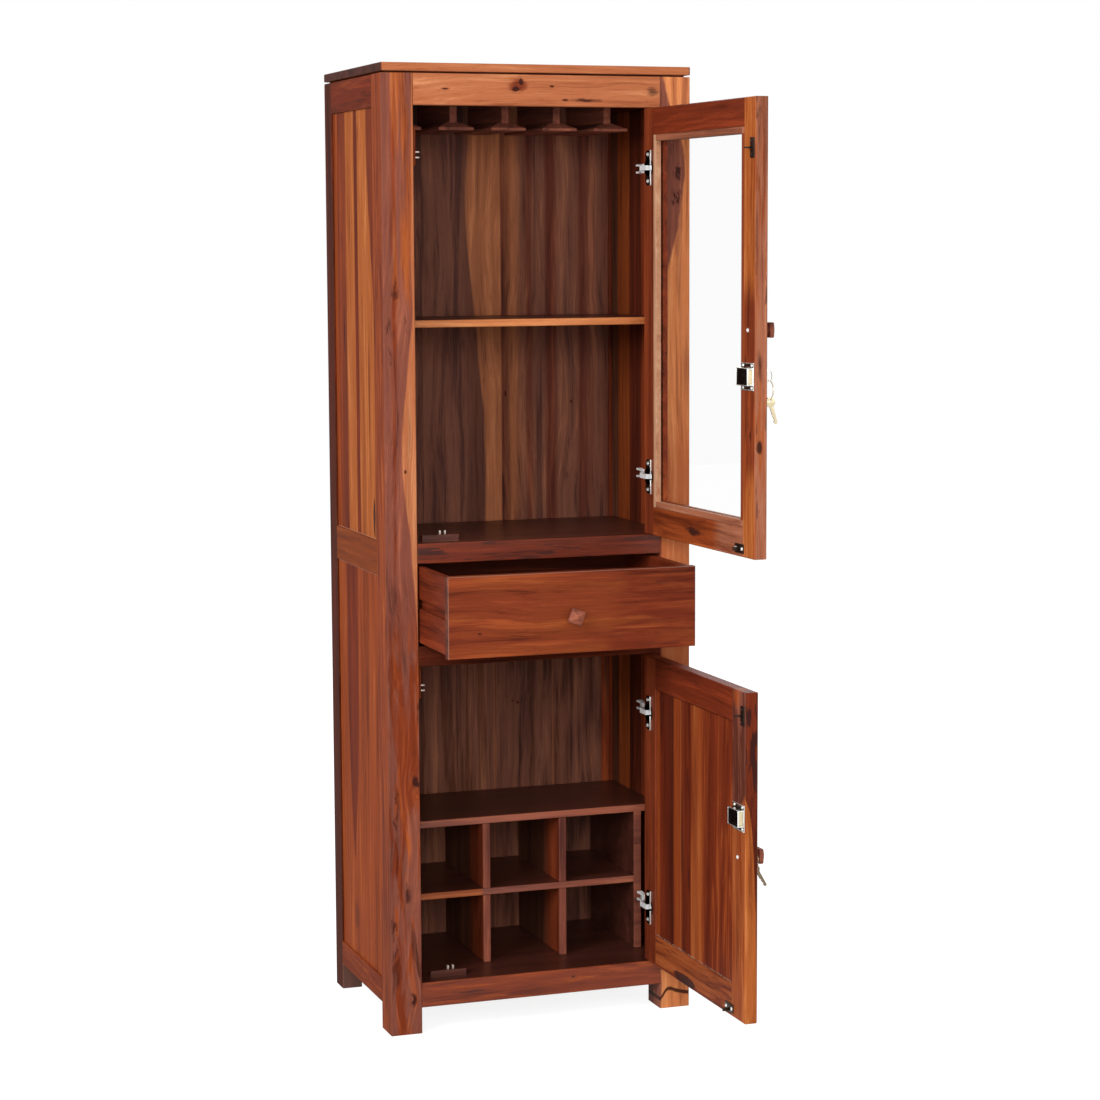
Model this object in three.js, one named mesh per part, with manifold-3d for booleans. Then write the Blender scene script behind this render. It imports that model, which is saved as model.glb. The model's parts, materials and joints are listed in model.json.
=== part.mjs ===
// Bar armoire in solid wood: a framed glass door over a display compartment with a shelf and
// hanging stemware rails, one drawer, and a panelled door over a six-bottle rack.
// Millimetres. X runs to the right, Y to the back, Z up from the floor. The carcass front is Y = 0.
// The doors stand open and the drawer is pulled out, and the hinges and runners say by how much.

import * as THREE from "three";
import { mergeVertices } from "three/addons/utils/BufferGeometryUtils.js";
import Module from "manifold-3d";

const wasm = await Module();
wasm.setup();

// Carcass, from the floor up
const width = 610;
const depth = 406;
const footHeight = 50;
const bottomRailHeight = 48;
const lowerOpening = 609.5;
const deckRailHeight = 38;
const drawerOpening = 156.5;
const floorRailHeight = 38;
const upperOpening = 812;
const topRailHeight = 58;
const shadowGap = 3.5;
const slabThick = 15.5;

// Fits between pieces
const seam = 0.3; // glue line or slip fit of two pieces that touch
const edgeEase = 1.2; // arris taken off the edges of boards and rails
const overrun = 2; // how far a cut runs past the face it opens

// Legs and rails
const frontLegWidth = 61;
const frontLegDepth = 65;
const rearLegWidth = 40;
const rearLegDepth = 50;
const frontRailThick = 25;
const sideTopRailHeight = 60;
const middleRailHeight = 65;
const middleRailRise = 877;
const backRailThick = 22;
const tenonThick = 9;
const tenonLength = 18;
const tenonShoulder = 8;

// Panels and boards
const panelThick = 22;
const panelRecess = 4;
const panelTongue = 8;
const dadoDepth = 5;
const backThick = 10;
const subTopThick = 16.5;
const subTopInset = 9; // from the slab's edges to the rim that carries the slab
const displayFloorThick = 15;
const deckThick = 12;
const bottomThick = 15;
const shelfThick = 14;
const shelfSetback = 98;
const shelfRise = 400;

// Bottle rack
const rackSetback = 104;
const rackRise = 276;
const rackTopThick = 14;
const rackShelfRise = 134;
const rackShelfThick = 13;
const rackBoardThick = 15;
const cubbyWidth = 142.6;

// Stemware rails
const stemRailCount = 5;
const stemPitchShare = 0.1864; // of the inside width, from one stem to the next
const stemFirstShare = 0.0932; // of the inside width, from the left panel to the first stem
const stemRailSetback = 120;
const stemFlangeWidth = 69;
const stemFlangeEdge = 5;
const stemFlangeHip = 13;
const stemThick = 14;
const stemDrop = 85;
const stemSetback = 20;

// Doors, both of one width; their hinge axis is a line just in front of the carcass
const doorThick = 25;
const doorGap = 2;
const lowerSillGap = 5;
const doorEase = 1.6;
const poleOut = 1;
const poleIn = 6;
const upperDoorOpen = 92.2; // degrees
const lowerDoorOpen = 90.4; // degrees
const upperStile = 44;
const upperDoorTopRail = 50;
const upperDoorBottomRail = 54;
const beadWidth = 12;
const beadDepth = 11;
const glassThick = 4;
const glassPlay = 1.5;
const beadEase = 0.8;
const lowerStile = 58;
const lowerDoorRail = 60;
const doorPanelThick = 12;
const doorPanelRecess = 3;
const doorPanelTongue = 8;

// Concealed hinges: a cup let into the door, a channelled arm on the leg, and a cranked link that
// turns in the cup and slides in the arm's channel
const upperHingeInset = 111.5;
const lowerHingeInset = 109.5;
const cupInset = 24;
const cupRadius = 17.2;
const cupDepth = 11;
const cupWall = 1.2;
const cupSides = 20;
const cupFlangeWidth = 26;
const cupFlangeHeight = 65;
const cupFlangeThick = 1.6;
const armSetback = 30;
const armLength = 44;
const armHeight = 17;
const armWaist = 12.5;
const armThick = 9;
const armChannel = 6.6;
const armStand = 19.5;
const armFootLength = 22;
const armPlateHeight = 50;
const armPlateThick = 2.4;
const linkThick = 3;
const linkHeight = 9;
const linkPivotDepth = 5;
const linkKnuckleRadius = 3;
const linkKnuckleSides = 12;
const linkStand = 10.8;
const linkTurn = 8;
const linkTail = 22;
const linkInset = 3;
const lugWidth = 6;
const lugCover = 3.5;

// Rim locks on the inner face of the doors
const upperLockRise = 322;
const lowerLockRise = 375;
const lockInset = 1;
const lockPlateWidth = 50;
const lockPlateHeight = 47;
const lockPlateThick = 1.6;
const lockCaseWidth = 44;
const lockCaseHeight = 31;
const lockCaseDepth = 10.6;
const lockCaseEase = 1;
const barrelRadius = 9;
const barrelRimRadius = 11.5;
const barrelRimThick = 1.5;
const barrelSides = 20;
const plugRadius = 5.6;
const plugPlay = 0.4;
const plugSides = 16;
const keywayWidth = 2.4;
const keywayHeight = 8;
const keywayDepth = 14;
const boltThick = 7.6;
const boltHeight = 23;
const boltLength = 34;
const boltTravel = 10;
const boltMortisePlay = 1.6;
const boltEase = 0.6;

// Knobs: a square head with a low pyramid on a round neck
const upperKnobRise = 403;
const upperKnobInset = 27.4;
const lowerKnobRise = 300;
const lowerKnobInset = 32;
const knobWidth = 27;
const knobEdge = 5;
const knobPeak = 7;
const knobNeckRadius = 5.5;
const knobNeckLength = 7;
const knobNeckSides = 12;
const drawerKnobTurn = 20; // degrees

// Keys and their rings
const keyShankLength = 6;
const keyShankHeight = 7;
const keyThick = 2.2;
const keyBowLength = 16.5;
const keyBowHeight = 24;
const keyBowRim = 3;
const keyBowSides = 20;
const wireRadius = 0.9;
const wireSides = 6;
const ringSides = 28;
const upperRingRadius = 17;
const spareBowRadius = 10;
const spareBowRim = 3.2;
const spareKeyLength = 38;
const spareKeyWidth = 7.5;
const spareKeyLean = 16; // degrees
const lowerRingRadius = 14;
const lowerRingStand = 5;
const lowerBowRadius = 7;
const lowerBowRim = 2.6;
const lowerKeyTurn = 62; // degrees
const lowerKeyLength = 30;
const lowerKeyWidth = 6.5;
const ringPlay = 0.5;
const ringMerge = 0.4; // how deep a ring's wire is pressed into the bow that hangs on it
const bladeShares = {
  tip: 0.08,
  point: 0.3,
  firstLow: 0.2,
  firstHigh: 0.3,
  secondLow: 0.42,
  secondHigh: 0.54,
  shoulder: 0.68,
  notch: 0.45,
};

// Stop blocks with a twin-prong catch, and the strikes on the doors
const blockLength = 72;
const blockThick = 12;
const sideBlockSetback = 27;
const floorBlockSetback = 32;
const sideBlockShift = 16;
const floorBlockShift = 5;
const upperSideCatchDrop = 88;
const lowerSideCatchDrop = 43;
const upperFloorCatchInset = 60;
const lowerFloorCatchInset = 68;
const prongPitch = 10;
const prongThick = 3;
const prongHeight = 8;
const prongDepth = 8;
const strikeLength = 35;
const strikeWidth = 16;
const strikeThick = 1.5;
const strikeInset = 2;
const strikeRise = 15;
const fingerThick = 2.4;
const fingerWidth = 6;
const fingerLength = 14;
const fingerClear = 1.5;

// Drawer on wooden runners
const drawerOut = 184;
const drawerGap = 2;
const drawerSillGap = 1.5;
const drawerHeadGap = 4;
const drawerFrontThick = 20;
const drawerSideThick = 12;
const drawerSideGap = 4;
const drawerSideSill = 5;
const drawerSideDrop = 1.5;
const drawerLength = 340;
const drawerBackThick = 12;
const drawerBackDrop = 12;
const drawerBottomThick = 6;
const drawerBottomRise = 8;
const drawerHousing = 6;
const drawerBottomTongue = 4;
const runnerHeight = 18;
const runnerRise = 71;
const runnerPlay = 0.3;
const runnerTongue = 5.5;
const runnerSetback = 28;
const grooveDepth = 6.5;
const grooveStop = 6;
const drawerKnobDrop = 82;

// Wood, metal and glass
const wood = (color) => new THREE.MeshStandardMaterial({ color, roughness: 0.42, metalness: 0 });
const honeyWood = wood(0x9c4a20);
const redWood = wood(0x7a3216);
const darkWood = wood(0x4f2212);
const rawWood = wood(0xc08a5c);
const chrome = new THREE.MeshStandardMaterial({ color: 0xd9d9d6, roughness: 0.2, metalness: 1 });
const brass = new THREE.MeshStandardMaterial({ color: 0xc9a868, roughness: 0.32, metalness: 1 });
const clearGlass = new THREE.MeshStandardMaterial({
  color: 0xf4f8f6,
  roughness: 0.04,
  metalness: 0,
  transparent: true,
  opacity: 0.25,
});

// Lines and levels that several pieces share
const halfWidth = width / 2;
const legFace = halfWidth - frontLegWidth;
const rearLegFace = halfWidth - rearLegWidth;
const panelOuter = halfWidth - panelRecess;
const panelInner = panelOuter - panelThick;
const backFace = depth - rearLegDepth;
const floorLevel = footHeight + bottomRailHeight;
const deckRailLevel = floorLevel + lowerOpening;
const deckLevel = deckRailLevel + deckRailHeight;
const floorRailLevel = deckLevel + drawerOpening;
const displayLevel = floorRailLevel + floorRailHeight;
const topRailLevel = displayLevel + upperOpening;
const legTop = topRailLevel + topRailHeight;
const slabLevel = legTop + shadowGap;
const ceiling = slabLevel - seam - subTopThick;
const doorEdge = legFace - doorGap;
const upperDoorFoot = displayLevel + doorGap;
const upperDoorHead = topRailLevel - doorGap;
const lowerDoorFoot = floorLevel + lowerSillGap;
const lowerDoorHead = deckRailLevel - doorGap;

// Solids

const axisX = new THREE.Vector3(1, 0, 0);
const axisY = new THREE.Vector3(0, 1, 0);
const axisZ = new THREE.Vector3(0, 0, 1);
const bases = { x: [axisY, axisZ, axisX], y: [axisZ, axisX, axisY], z: [axisX, axisY, axisZ] };
const crossAxes = { x: ["y", "z"], y: ["z", "x"], z: ["x", "y"] };

// An outline in the two axes that follow the given one, extruded along it from low to high.
// ease is the arris taken off both end faces.
function prism(axis, outline, [low, high], ease = 0, hole = null) {
  const shape = new THREE.Shape(outline.map(([u, v]) => new THREE.Vector2(u, v)));
  if (hole) shape.holes.push(new THREE.Path(hole.map(([u, v]) => new THREE.Vector2(u, v))));
  const geometry = new THREE.ExtrudeGeometry(shape, {
    depth: high - low - 2 * ease,
    bevelEnabled: ease > 0,
    bevelThickness: ease,
    bevelSize: ease,
    bevelOffset: -ease,
    bevelSegments: 1,
  });
  geometry.translate(0, 0, low + ease);
  return geometry.applyMatrix4(new THREE.Matrix4().makeBasis(...bases[axis]));
}

function rectangle([u0, u1], [v0, v1]) {
  return [[u0, v0], [u1, v0], [u1, v1], [u0, v1]];
}

function easedRectangle([u0, u1], [v0, v1], ease) {
  return [
    [u0 + ease, v0], [u1 - ease, v0], [u1, v0 + ease], [u1, v1 - ease],
    [u1 - ease, v1], [u0 + ease, v1], [u0, v1 - ease], [u0, v0 + ease],
  ];
}

function oval([u, v], radiusU, radiusV, sides) {
  return Array.from({ length: sides }, (_, i) => {
    const turn = (i + 0.5) * 2 * Math.PI / sides;
    return [u + radiusU * Math.cos(turn), v + radiusV * Math.sin(turn)];
  });
}

const disc = (centre, radius, sides) => oval(centre, radius, radius, sides);

// A box is { x: [low, high], y: [low, high], z: [low, high] }.
const block = (box) => prism("z", rectangle(box.x, box.y), box.z);

// A board has the arris off both broad faces; axis is the one its thickness lies along.
function board(axis, box, ease = edgeEase) {
  const [u, v] = crossAxes[axis];
  return prism(axis, rectangle(box[u], box[v]), box[axis], ease);
}

// A stick has the arris off its long edges; axis is the one it runs along.
function stick(axis, box, ease = edgeEase) {
  const [u, v] = crossAxes[axis];
  return prism(axis, easedRectangle(box[u], box[v], ease), box[axis]);
}

const around = (middle, size) => [middle - size / 2, middle + size / 2];
const grownSpan = ([low, high], by) => [low - by, high + by];
const grown = (box, by) => ({
  x: grownSpan(box.x, by),
  y: grownSpan(box.y, by),
  z: grownSpan(box.z, by),
});

// A span that lies on the right for side 1 and mirrored on the left for side -1
const sided = (side, low, high) => (side > 0 ? [low, high] : [-high, -low]);

function solidOf(geometry) {
  const bare = geometry.index ? geometry.toNonIndexed() : geometry.clone();
  bare.deleteAttribute("normal");
  bare.deleteAttribute("uv");
  const merged = mergeVertices(bare);
  return new wasm.Manifold(
    new wasm.Mesh({
      numProp: 3,
      vertProperties: new Float32Array(merged.attributes.position.array),
      triVerts: new Uint32Array(merged.index.array),
    }),
  );
}

function geometryOf(solid) {
  const mesh = solid.getMesh();
  const geometry = new THREE.BufferGeometry();
  geometry.setAttribute("position", new THREE.BufferAttribute(mesh.vertProperties, 3));
  geometry.setIndex(new THREE.BufferAttribute(mesh.triVerts, 1));
  const flat = geometry.toNonIndexed();
  flat.computeVertexNormals();
  return flat;
}

const join = (first, ...rest) =>
  geometryOf(rest.reduce((whole, next) => whole.add(solidOf(next)), solidOf(first)));

const cut = (first, ...tools) =>
  geometryOf(tools.reduce((whole, tool) => whole.subtract(solidOf(tool)), solidOf(first)));

function place(parent, name, geometry, material) {
  const mesh = new THREE.Mesh(geometry, material);
  mesh.name = name;
  parent.add(mesh);
  return mesh;
}

const carcass = new THREE.Group();

// Rails, each with a tenon that runs on into the legs

// The tenon of a rail lies in the middle of its section, past both ends.
function tenonBox(axis, thin, tall, rail) {
  return {
    [axis]: grownSpan(rail[axis], tenonLength),
    [thin]: around((rail[thin][0] + rail[thin][1]) / 2, tenonThick),
    [tall]: grownSpan(rail[tall], -tenonShoulder),
  };
}

const betweenFrontLegs = grownSpan([-legFace, legFace], -seam);
const frontRail = (low, high) => ({ x: betweenFrontLegs, y: [0, frontRailThick], z: [low, high] });
const frontRails = {
  bottom: frontRail(footHeight, floorLevel),
  deck: frontRail(deckRailLevel, deckLevel),
  display: frontRail(floorRailLevel, displayLevel),
  top: frontRail(topRailLevel, legTop),
};
const betweenSideLegs = grownSpan([frontLegDepth, backFace], -seam);
const sideRailFoot = legTop - sideTopRailHeight;
const railInner = panelInner;
const sideRails = (side) => ({
  bottom: { x: sided(side, railInner, halfWidth), y: betweenSideLegs, z: [footHeight, floorLevel] },
  top: { x: sided(side, railInner, halfWidth), y: betweenSideLegs, z: [sideRailFoot, legTop] },
});
const backRail = {
  x: grownSpan([-rearLegFace, rearLegFace], -seam),
  y: [backFace + backThick + seam, backFace + backThick + backRailThick],
  z: [footHeight, floorLevel],
};

const frontTenon = (rail) => tenonBox("x", "y", "z", rail);
const sideTenon = (rail) => tenonBox("y", "x", "z", rail);
const backTenon = tenonBox("x", "y", "z", backRail);

// The side panel's edges stand in grooves of the legs and rabbets of the rails.
const panelBox = (side) => ({
  x: sided(side, panelInner, panelOuter),
  y: grownSpan([frontLegDepth, backFace], panelTongue - seam),
  z: grownSpan([floorLevel, sideRailFoot], panelTongue - seam),
});

// The back panel's edges stand in rabbets of the rear legs.
const backBox = {
  x: grownSpan([-rearLegFace, rearLegFace], panelTongue - seam),
  y: [backFace, backFace + backThick],
  z: [footHeight, legTop],
};

// Catches and strikes

// Two prongs on a face that lies at level along the axis out; apart is the axis across them.
function prongs(out, apart, level, towards, middle, front) {
  const make = (shift) => block({
    [out]: towards > 0 ? [level - overrun, level + prongHeight] : [level - prongHeight, level + overrun],
    [apart]: around(middle + shift, prongThick),
    y: [front, front + prongDepth],
  });
  return [make(-prongPitch / 2), make(prongPitch / 2)];
}

const prongFront = (setback) => setback + (blockThick - prongDepth) / 2;

// On the left leg, for a door whose head is at the given level
function sideCatch(head, drop) {
  const middle = head - drop;
  const wall = -legFace;
  return [
    block({
      x: [wall - overrun, wall + blockThick],
      y: [sideBlockSetback, sideBlockSetback + blockThick],
      z: around(middle + sideBlockShift, blockLength),
    }),
    ...prongs("x", "z", wall + blockThick, 1, middle, prongFront(sideBlockSetback)),
  ];
}

// On a floor, at a distance from the left leg
function floorCatch(level, inset) {
  const middle = -legFace + inset;
  return [
    block({
      x: around(middle - floorBlockShift, blockLength),
      y: [floorBlockSetback, floorBlockSetback + blockThick],
      z: [level - overrun, level + blockThick],
    }),
    ...prongs("z", "x", level + blockThick, 1, middle, prongFront(floorBlockSetback)),
  ];
}

const doorFace = doorThick;
const plateSpan = [doorFace - overrun, doorFace + strikeThick];
const fingerSpan = [doorFace - overrun, doorFace + fingerLength];

// A strike whose finger goes between the prongs of a side catch when the door shuts
function sideStrike(head, drop) {
  const middle = head - drop;
  const fingerLow = -legFace + blockThick + fingerClear;
  return [
    block({
      x: [-doorEdge + strikeInset, -doorEdge + strikeInset + strikeWidth],
      y: plateSpan,
      z: around(middle, strikeLength),
    }),
    block({ x: [fingerLow, fingerLow + fingerWidth], y: fingerSpan, z: around(middle, fingerThick) }),
  ];
}

function floorStrike(foot, level, inset) {
  const middle = -legFace + inset;
  const fingerLow = level + blockThick + fingerClear;
  return [
    block({ x: around(middle, strikeLength), y: plateSpan, z: around(foot + strikeRise, strikeWidth) }),
    block({ x: around(middle, fingerThick), y: fingerSpan, z: [fingerLow, fingerLow + fingerWidth] }),
  ];
}

// Locks: where each sits on its door, with the door shut

const lockMiddle = -doorEdge + lockInset + lockPlateWidth / 2;
const plateBack = doorFace + seam;
const caseFoot = plateBack + lockPlateThick;
const boltMiddle = caseFoot + lockCaseDepth / 2;
const caseEnd = lockMiddle - lockCaseWidth / 2;
const boltBox = (level) => ({
  x: [caseEnd, caseEnd + boltLength],
  y: around(boltMiddle, boltThick),
  z: around(level, boltHeight),
});
const upperLockLevel = upperDoorFoot + upperLockRise;
const lowerLockLevel = lowerDoorFoot + lowerLockRise;

// Where the bolt goes into the left leg
function boltMortise(level) {
  const bolt = grown(boltBox(level), boltMortisePlay);
  return block({ x: [bolt.x[0] - boltTravel, -legFace + overrun], y: bolt.y, z: bolt.z });
}

// Legs

function frontLeg(side) {
  const rails = sideRails(side);
  const leg = stick("z", {
    x: sided(side, legFace, halfWidth),
    y: [0, frontLegDepth],
    z: [0, legTop],
  });
  const mortises = [
    ...Object.values(frontRails).map((rail) => block(grown(frontTenon(rail), seam))),
    ...Object.values(rails).map((rail) => block(grown(sideTenon(rail), seam))),
    block(grown(panelBox(side), seam)),
  ];
  if (side > 0) return cut(leg, ...mortises);
  const stopped = join(
    leg,
    ...sideCatch(upperDoorHead, upperSideCatchDrop),
    ...sideCatch(lowerDoorHead, lowerSideCatchDrop),
  );
  return cut(stopped, ...mortises, boltMortise(upperLockLevel), boltMortise(lowerLockLevel));
}

function rearLeg(side) {
  const rails = sideRails(side);
  const leg = stick("z", {
    x: sided(side, rearLegFace, halfWidth),
    y: [backFace, depth],
    z: [0, legTop],
  });
  return cut(
    leg,
    block(grown(sideTenon(rails.bottom), seam)),
    block(grown(sideTenon(rails.top), seam)),
    block(grown(panelBox(side), seam)),
    block(grown(backTenon, seam)),
    block(grown(backBox, seam)),
  );
}

// A floor board with a rail glued under its front edge, notched round the front legs
function railedFloor(rail, thick, sideReach, extras) {
  const level = rail.z[1];
  const innerX = betweenFrontLegs[1];
  const outerX = sideReach - seam;
  const notchY = frontLegDepth + seam;
  const backY = backFace - seam;
  const outline = [
    [-innerX, frontRailThick / 2], [innerX, frontRailThick / 2], [innerX, notchY],
    [outerX, notchY], [outerX, backY], [-outerX, backY],
    [-outerX, notchY], [-innerX, notchY],
  ];
  return join(
    stick("x", rail),
    block(frontTenon(rail)),
    prism("z", outline, [level - thick, level]),
    ...extras,
  );
}

const dadoReach = panelInner + dadoDepth;
const boardBack = backFace - seam;
const shelfBox = {
  x: [-dadoReach + seam, dadoReach - seam],
  y: [shelfSetback, boardBack],
  z: [displayLevel + shelfRise, displayLevel + shelfRise + shelfThick],
};
const rackTopLevel = floorLevel + rackRise;
const rackTopBox = {
  x: shelfBox.x,
  y: [rackSetback, boardBack],
  z: [rackTopLevel, rackTopLevel + rackTopThick],
};

const drawerSideOuter = legFace - drawerSideGap;
const tongueTip = drawerSideOuter - runnerTongue;
const grooveFoot = deckLevel + runnerRise;
const grooveHead = grooveFoot + runnerHeight + 2 * runnerPlay;

// The drawer's runner: a batten between the legs with a tongue that goes on past the front leg
function drawerRunner(side) {
  const panelMiddle = (panelInner + panelOuter) / 2;
  const outline = [
    [side * tongueTip, runnerSetback],
    [side * betweenFrontLegs[1], runnerSetback],
    [side * betweenFrontLegs[1], betweenSideLegs[0]],
    [side * panelMiddle, betweenSideLegs[0]],
    [side * panelMiddle, boardBack],
    [side * tongueTip, boardBack],
  ];
  if (side < 0) outline.reverse();
  return prism("z", outline, [grooveHead - runnerPlay - runnerHeight, grooveHead - runnerPlay]);
}

// A side panel with what is glued on it: the middle rail outside and the runner inside
function sidePanel(side) {
  const box = panelBox(side);
  const dado = (y, z) => block({
    x: sided(side, panelInner - overrun, dadoReach),
    y,
    z: grownSpan(z, seam),
  });
  const fullDepth = grownSpan([frontLegDepth, backFace], overrun);
  const panel = cut(
    board("x", box),
    dado(fullDepth, [displayLevel - displayFloorThick, displayLevel]),
    dado(fullDepth, [deckLevel - deckThick, deckLevel]),
    dado([shelfSetback - seam, fullDepth[1]], shelfBox.z),
    dado([rackSetback - seam, fullDepth[1]], rackTopBox.z),
  );
  const middleRail = stick("y", {
    x: sided(side, panelOuter - panelTongue, halfWidth),
    y: betweenSideLegs,
    z: [middleRailRise, middleRailRise + middleRailHeight],
  });
  return join(panel, middleRail, drawerRunner(side));
}

function sideRail(side, rail) {
  return cut(
    join(stick("y", rail), block(sideTenon(rail))),
    block(grown(panelBox(side), seam)),
  );
}

for (const [name, side] of [["left", -1], ["right", 1]]) {
  const rails = sideRails(side);
  place(carcass, `front_${name}_leg`, frontLeg(side), honeyWood);
  place(carcass, `rear_${name}_leg`, rearLeg(side), redWood);
  place(carcass, `${name}_top_rail`, sideRail(side, rails.top), redWood);
  place(carcass, `${name}_bottom_rail`, sideRail(side, rails.bottom), redWood);
  place(carcass, `${name}_side_panel`, sidePanel(side), redWood);
}

place(
  carcass,
  "top_slab",
  board("z", { x: [-halfWidth, halfWidth], y: [0, depth], z: [slabLevel, slabLevel + slabThick] }),
  honeyWood,
);

const subTopSide = railInner - seam;
const subTopNotch = frontLegDepth + seam;
const subTopFront = frontRailThick + seam;
const subTopOutline = [
  [betweenFrontLegs[0], subTopFront], [betweenFrontLegs[1], subTopFront],
  [betweenFrontLegs[1], subTopNotch], [subTopSide, subTopNotch], [subTopSide, boardBack],
  [-subTopSide, boardBack], [-subTopSide, subTopNotch], [betweenFrontLegs[0], subTopNotch],
];
const subTopRim = block({
  x: grownSpan([-halfWidth, halfWidth], -subTopInset),
  y: grownSpan([0, depth], -subTopInset),
  z: [legTop + seam, slabLevel - seam],
});
place(
  carcass,
  "sub_top",
  join(prism("z", subTopOutline, [ceiling, slabLevel - seam]), subTopRim),
  darkWood,
);

place(
  carcass,
  "front_top_rail",
  join(stick("x", frontRails.top), block(frontTenon(frontRails.top))),
  honeyWood,
);

place(
  carcass,
  "display_floor",
  railedFloor(
    frontRails.display, displayFloorThick, dadoReach, floorCatch(displayLevel, upperFloorCatchInset),
  ),
  darkWood,
);
place(carcass, "drawer_deck", railedFloor(frontRails.deck, deckThick, dadoReach, []), darkWood);
place(
  carcass,
  "bottom_board",
  railedFloor(
    frontRails.bottom, bottomThick, railInner, floorCatch(floorLevel, lowerFloorCatchInset),
  ),
  darkWood,
);
place(carcass, "display_shelf", board("z", shelfBox), darkWood);
place(carcass, "back_panel", board("y", backBox), redWood);
place(carcass, "back_bottom_rail", join(stick("x", backRail), block(backTenon)), redWood);

// Bottle rack: two end boards under the top, and two dividers that cross the shelf in half laps

const rackFoot = floorLevel + seam;
const endOuter = legFace;
const endInner = legFace - rackBoardThick;
const rackEnd = (side, top) => ({
  x: sided(side, endInner, endOuter),
  y: rackTopBox.y,
  z: [rackFoot, top],
});
const lapMiddle = (rackTopBox.y[0] + rackTopBox.y[1]) / 2;
const dividerX = (cubbyWidth + rackBoardThick) / 2;
const dividerBox = (side) => ({
  x: around(side * dividerX, rackBoardThick),
  y: rackTopBox.y,
  z: [rackFoot, rackTopLevel - seam],
});
const rackShelfBox = {
  x: [-endInner + seam, endInner - seam],
  y: rackTopBox.y,
  z: [floorLevel + rackShelfRise, floorLevel + rackShelfRise + rackShelfThick],
};

place(
  carcass,
  "rack_top",
  join(
    board("z", rackTopBox),
    block(rackEnd(-1, rackTopLevel + rackTopThick / 2)),
    block(rackEnd(1, rackTopLevel + rackTopThick / 2)),
  ),
  darkWood,
);

// The shelf is slotted from the back to the lap, and each divider from the front to it.
const shelfSlot = (side) => block({
  x: grownSpan(dividerBox(side).x, seam),
  y: [lapMiddle - seam / 2, rackTopBox.y[1] + overrun],
  z: grownSpan(rackShelfBox.z, overrun),
});
place(
  carcass,
  "rack_shelf",
  cut(board("z", rackShelfBox), shelfSlot(-1), shelfSlot(1)),
  darkWood,
);
for (const [name, side] of [["left", -1], ["right", 1]]) {
  const slot = block({
    x: grownSpan(dividerBox(side).x, overrun),
    y: [rackTopBox.y[0] - overrun, lapMiddle + seam / 2],
    z: grownSpan(rackShelfBox.z, seam),
  });
  place(carcass, `rack_${name}_divider`, cut(board("x", dividerBox(side)), slot), redWood);
}

// Stemware rails: a T under the ceiling, its flange hipped at the sides and the front

function stemRail() {
  const foot = ceiling - stemDrop;
  const edgeTop = foot + stemFlangeEdge;
  const hipTop = edgeTop + stemFlangeHip;
  const hipRun = (stemFlangeWidth - stemThick) / 2;
  const [left, right] = around(0, stemFlangeWidth);
  const flange = prism(
    "y",
    [
      [foot, left], [edgeTop, left], [hipTop, -stemThick / 2],
      [hipTop, stemThick / 2], [edgeTop, right], [foot, right],
    ],
    [stemRailSetback, boardBack],
  );
  const front = stemRailSetback;
  const frontHip = prism(
    "x",
    [
      [front - overrun, edgeTop], [front, edgeTop], [front + hipRun, hipTop],
      [front + hipRun, hipTop + overrun], [front - overrun, hipTop + overrun],
    ],
    grownSpan([left, right], overrun),
  );
  const stem = block({
    x: around(0, stemThick),
    y: [stemRailSetback + stemSetback, boardBack],
    z: [foot + stemFlangeEdge / 2, ceiling - seam],
  });
  return join(cut(flange, frontHip), stem);
}

for (let i = 0; i < stemRailCount; i += 1) {
  const rail = place(carcass, `stem_rail_${i + 1}`, stemRail(), redWood);
  rail.position.x = (stemFirstShare + i * stemPitchShare) * 2 * panelInner - panelInner;
}

// Hinge arms on the right front leg: a wing plate, a foot, and a waisted channel on it

const armFace = legFace - seam;
const armTop = armFace - armStand;

function hingeArm(level) {
  const end = armSetback + armLength;
  const waist = armSetback + armLength / 2;
  const low = level - armHeight / 2;
  const high = level + armHeight / 2;
  const arm = prism(
    "x",
    [
      [armSetback, low], [waist, level - armWaist / 2], [end, low],
      [end, high], [waist, level + armWaist / 2], [armSetback, high],
    ],
    [armTop, armTop + armThick],
  );
  const channel = block({
    x: [armTop - overrun, armTop + armChannel],
    y: [armSetback - overrun, end + overrun],
    z: around(level, linkHeight + 2 * seam),
  });
  const footSpan = [armSetback + armWaist / 2, armSetback + armWaist / 2 + armFootLength];
  const foot = block({
    x: [armTop + (armChannel + armThick) / 2, armFace],
    y: footSpan,
    z: around(level, armWaist),
  });
  const plate = board(
    "x",
    { x: [armFace - armPlateThick, armFace], y: footSpan, z: around(level, armPlateHeight) },
    armPlateThick / 4,
  );
  return join(cut(arm, channel), foot, plate);
}

const upperHinges = { top: upperDoorHead - upperHingeInset, bottom: upperDoorFoot + upperHingeInset };
const lowerHinges = { top: lowerDoorHead - lowerHingeInset, bottom: lowerDoorFoot + lowerHingeInset };
for (const [door, hinges] of [["upper", upperHinges], ["lower", lowerHinges]])
  for (const [end, level] of Object.entries(hinges))
    place(carcass, `${door}_${end}_hinge_arm`, hingeArm(level), chrome);

// Links: each runs out of its cup, round the door's edge and into the channel of its arm

const pole = new THREE.Vector3(legFace - poleIn, -poleOut, 0);
const cupMiddle = doorEdge - cupInset;

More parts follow.
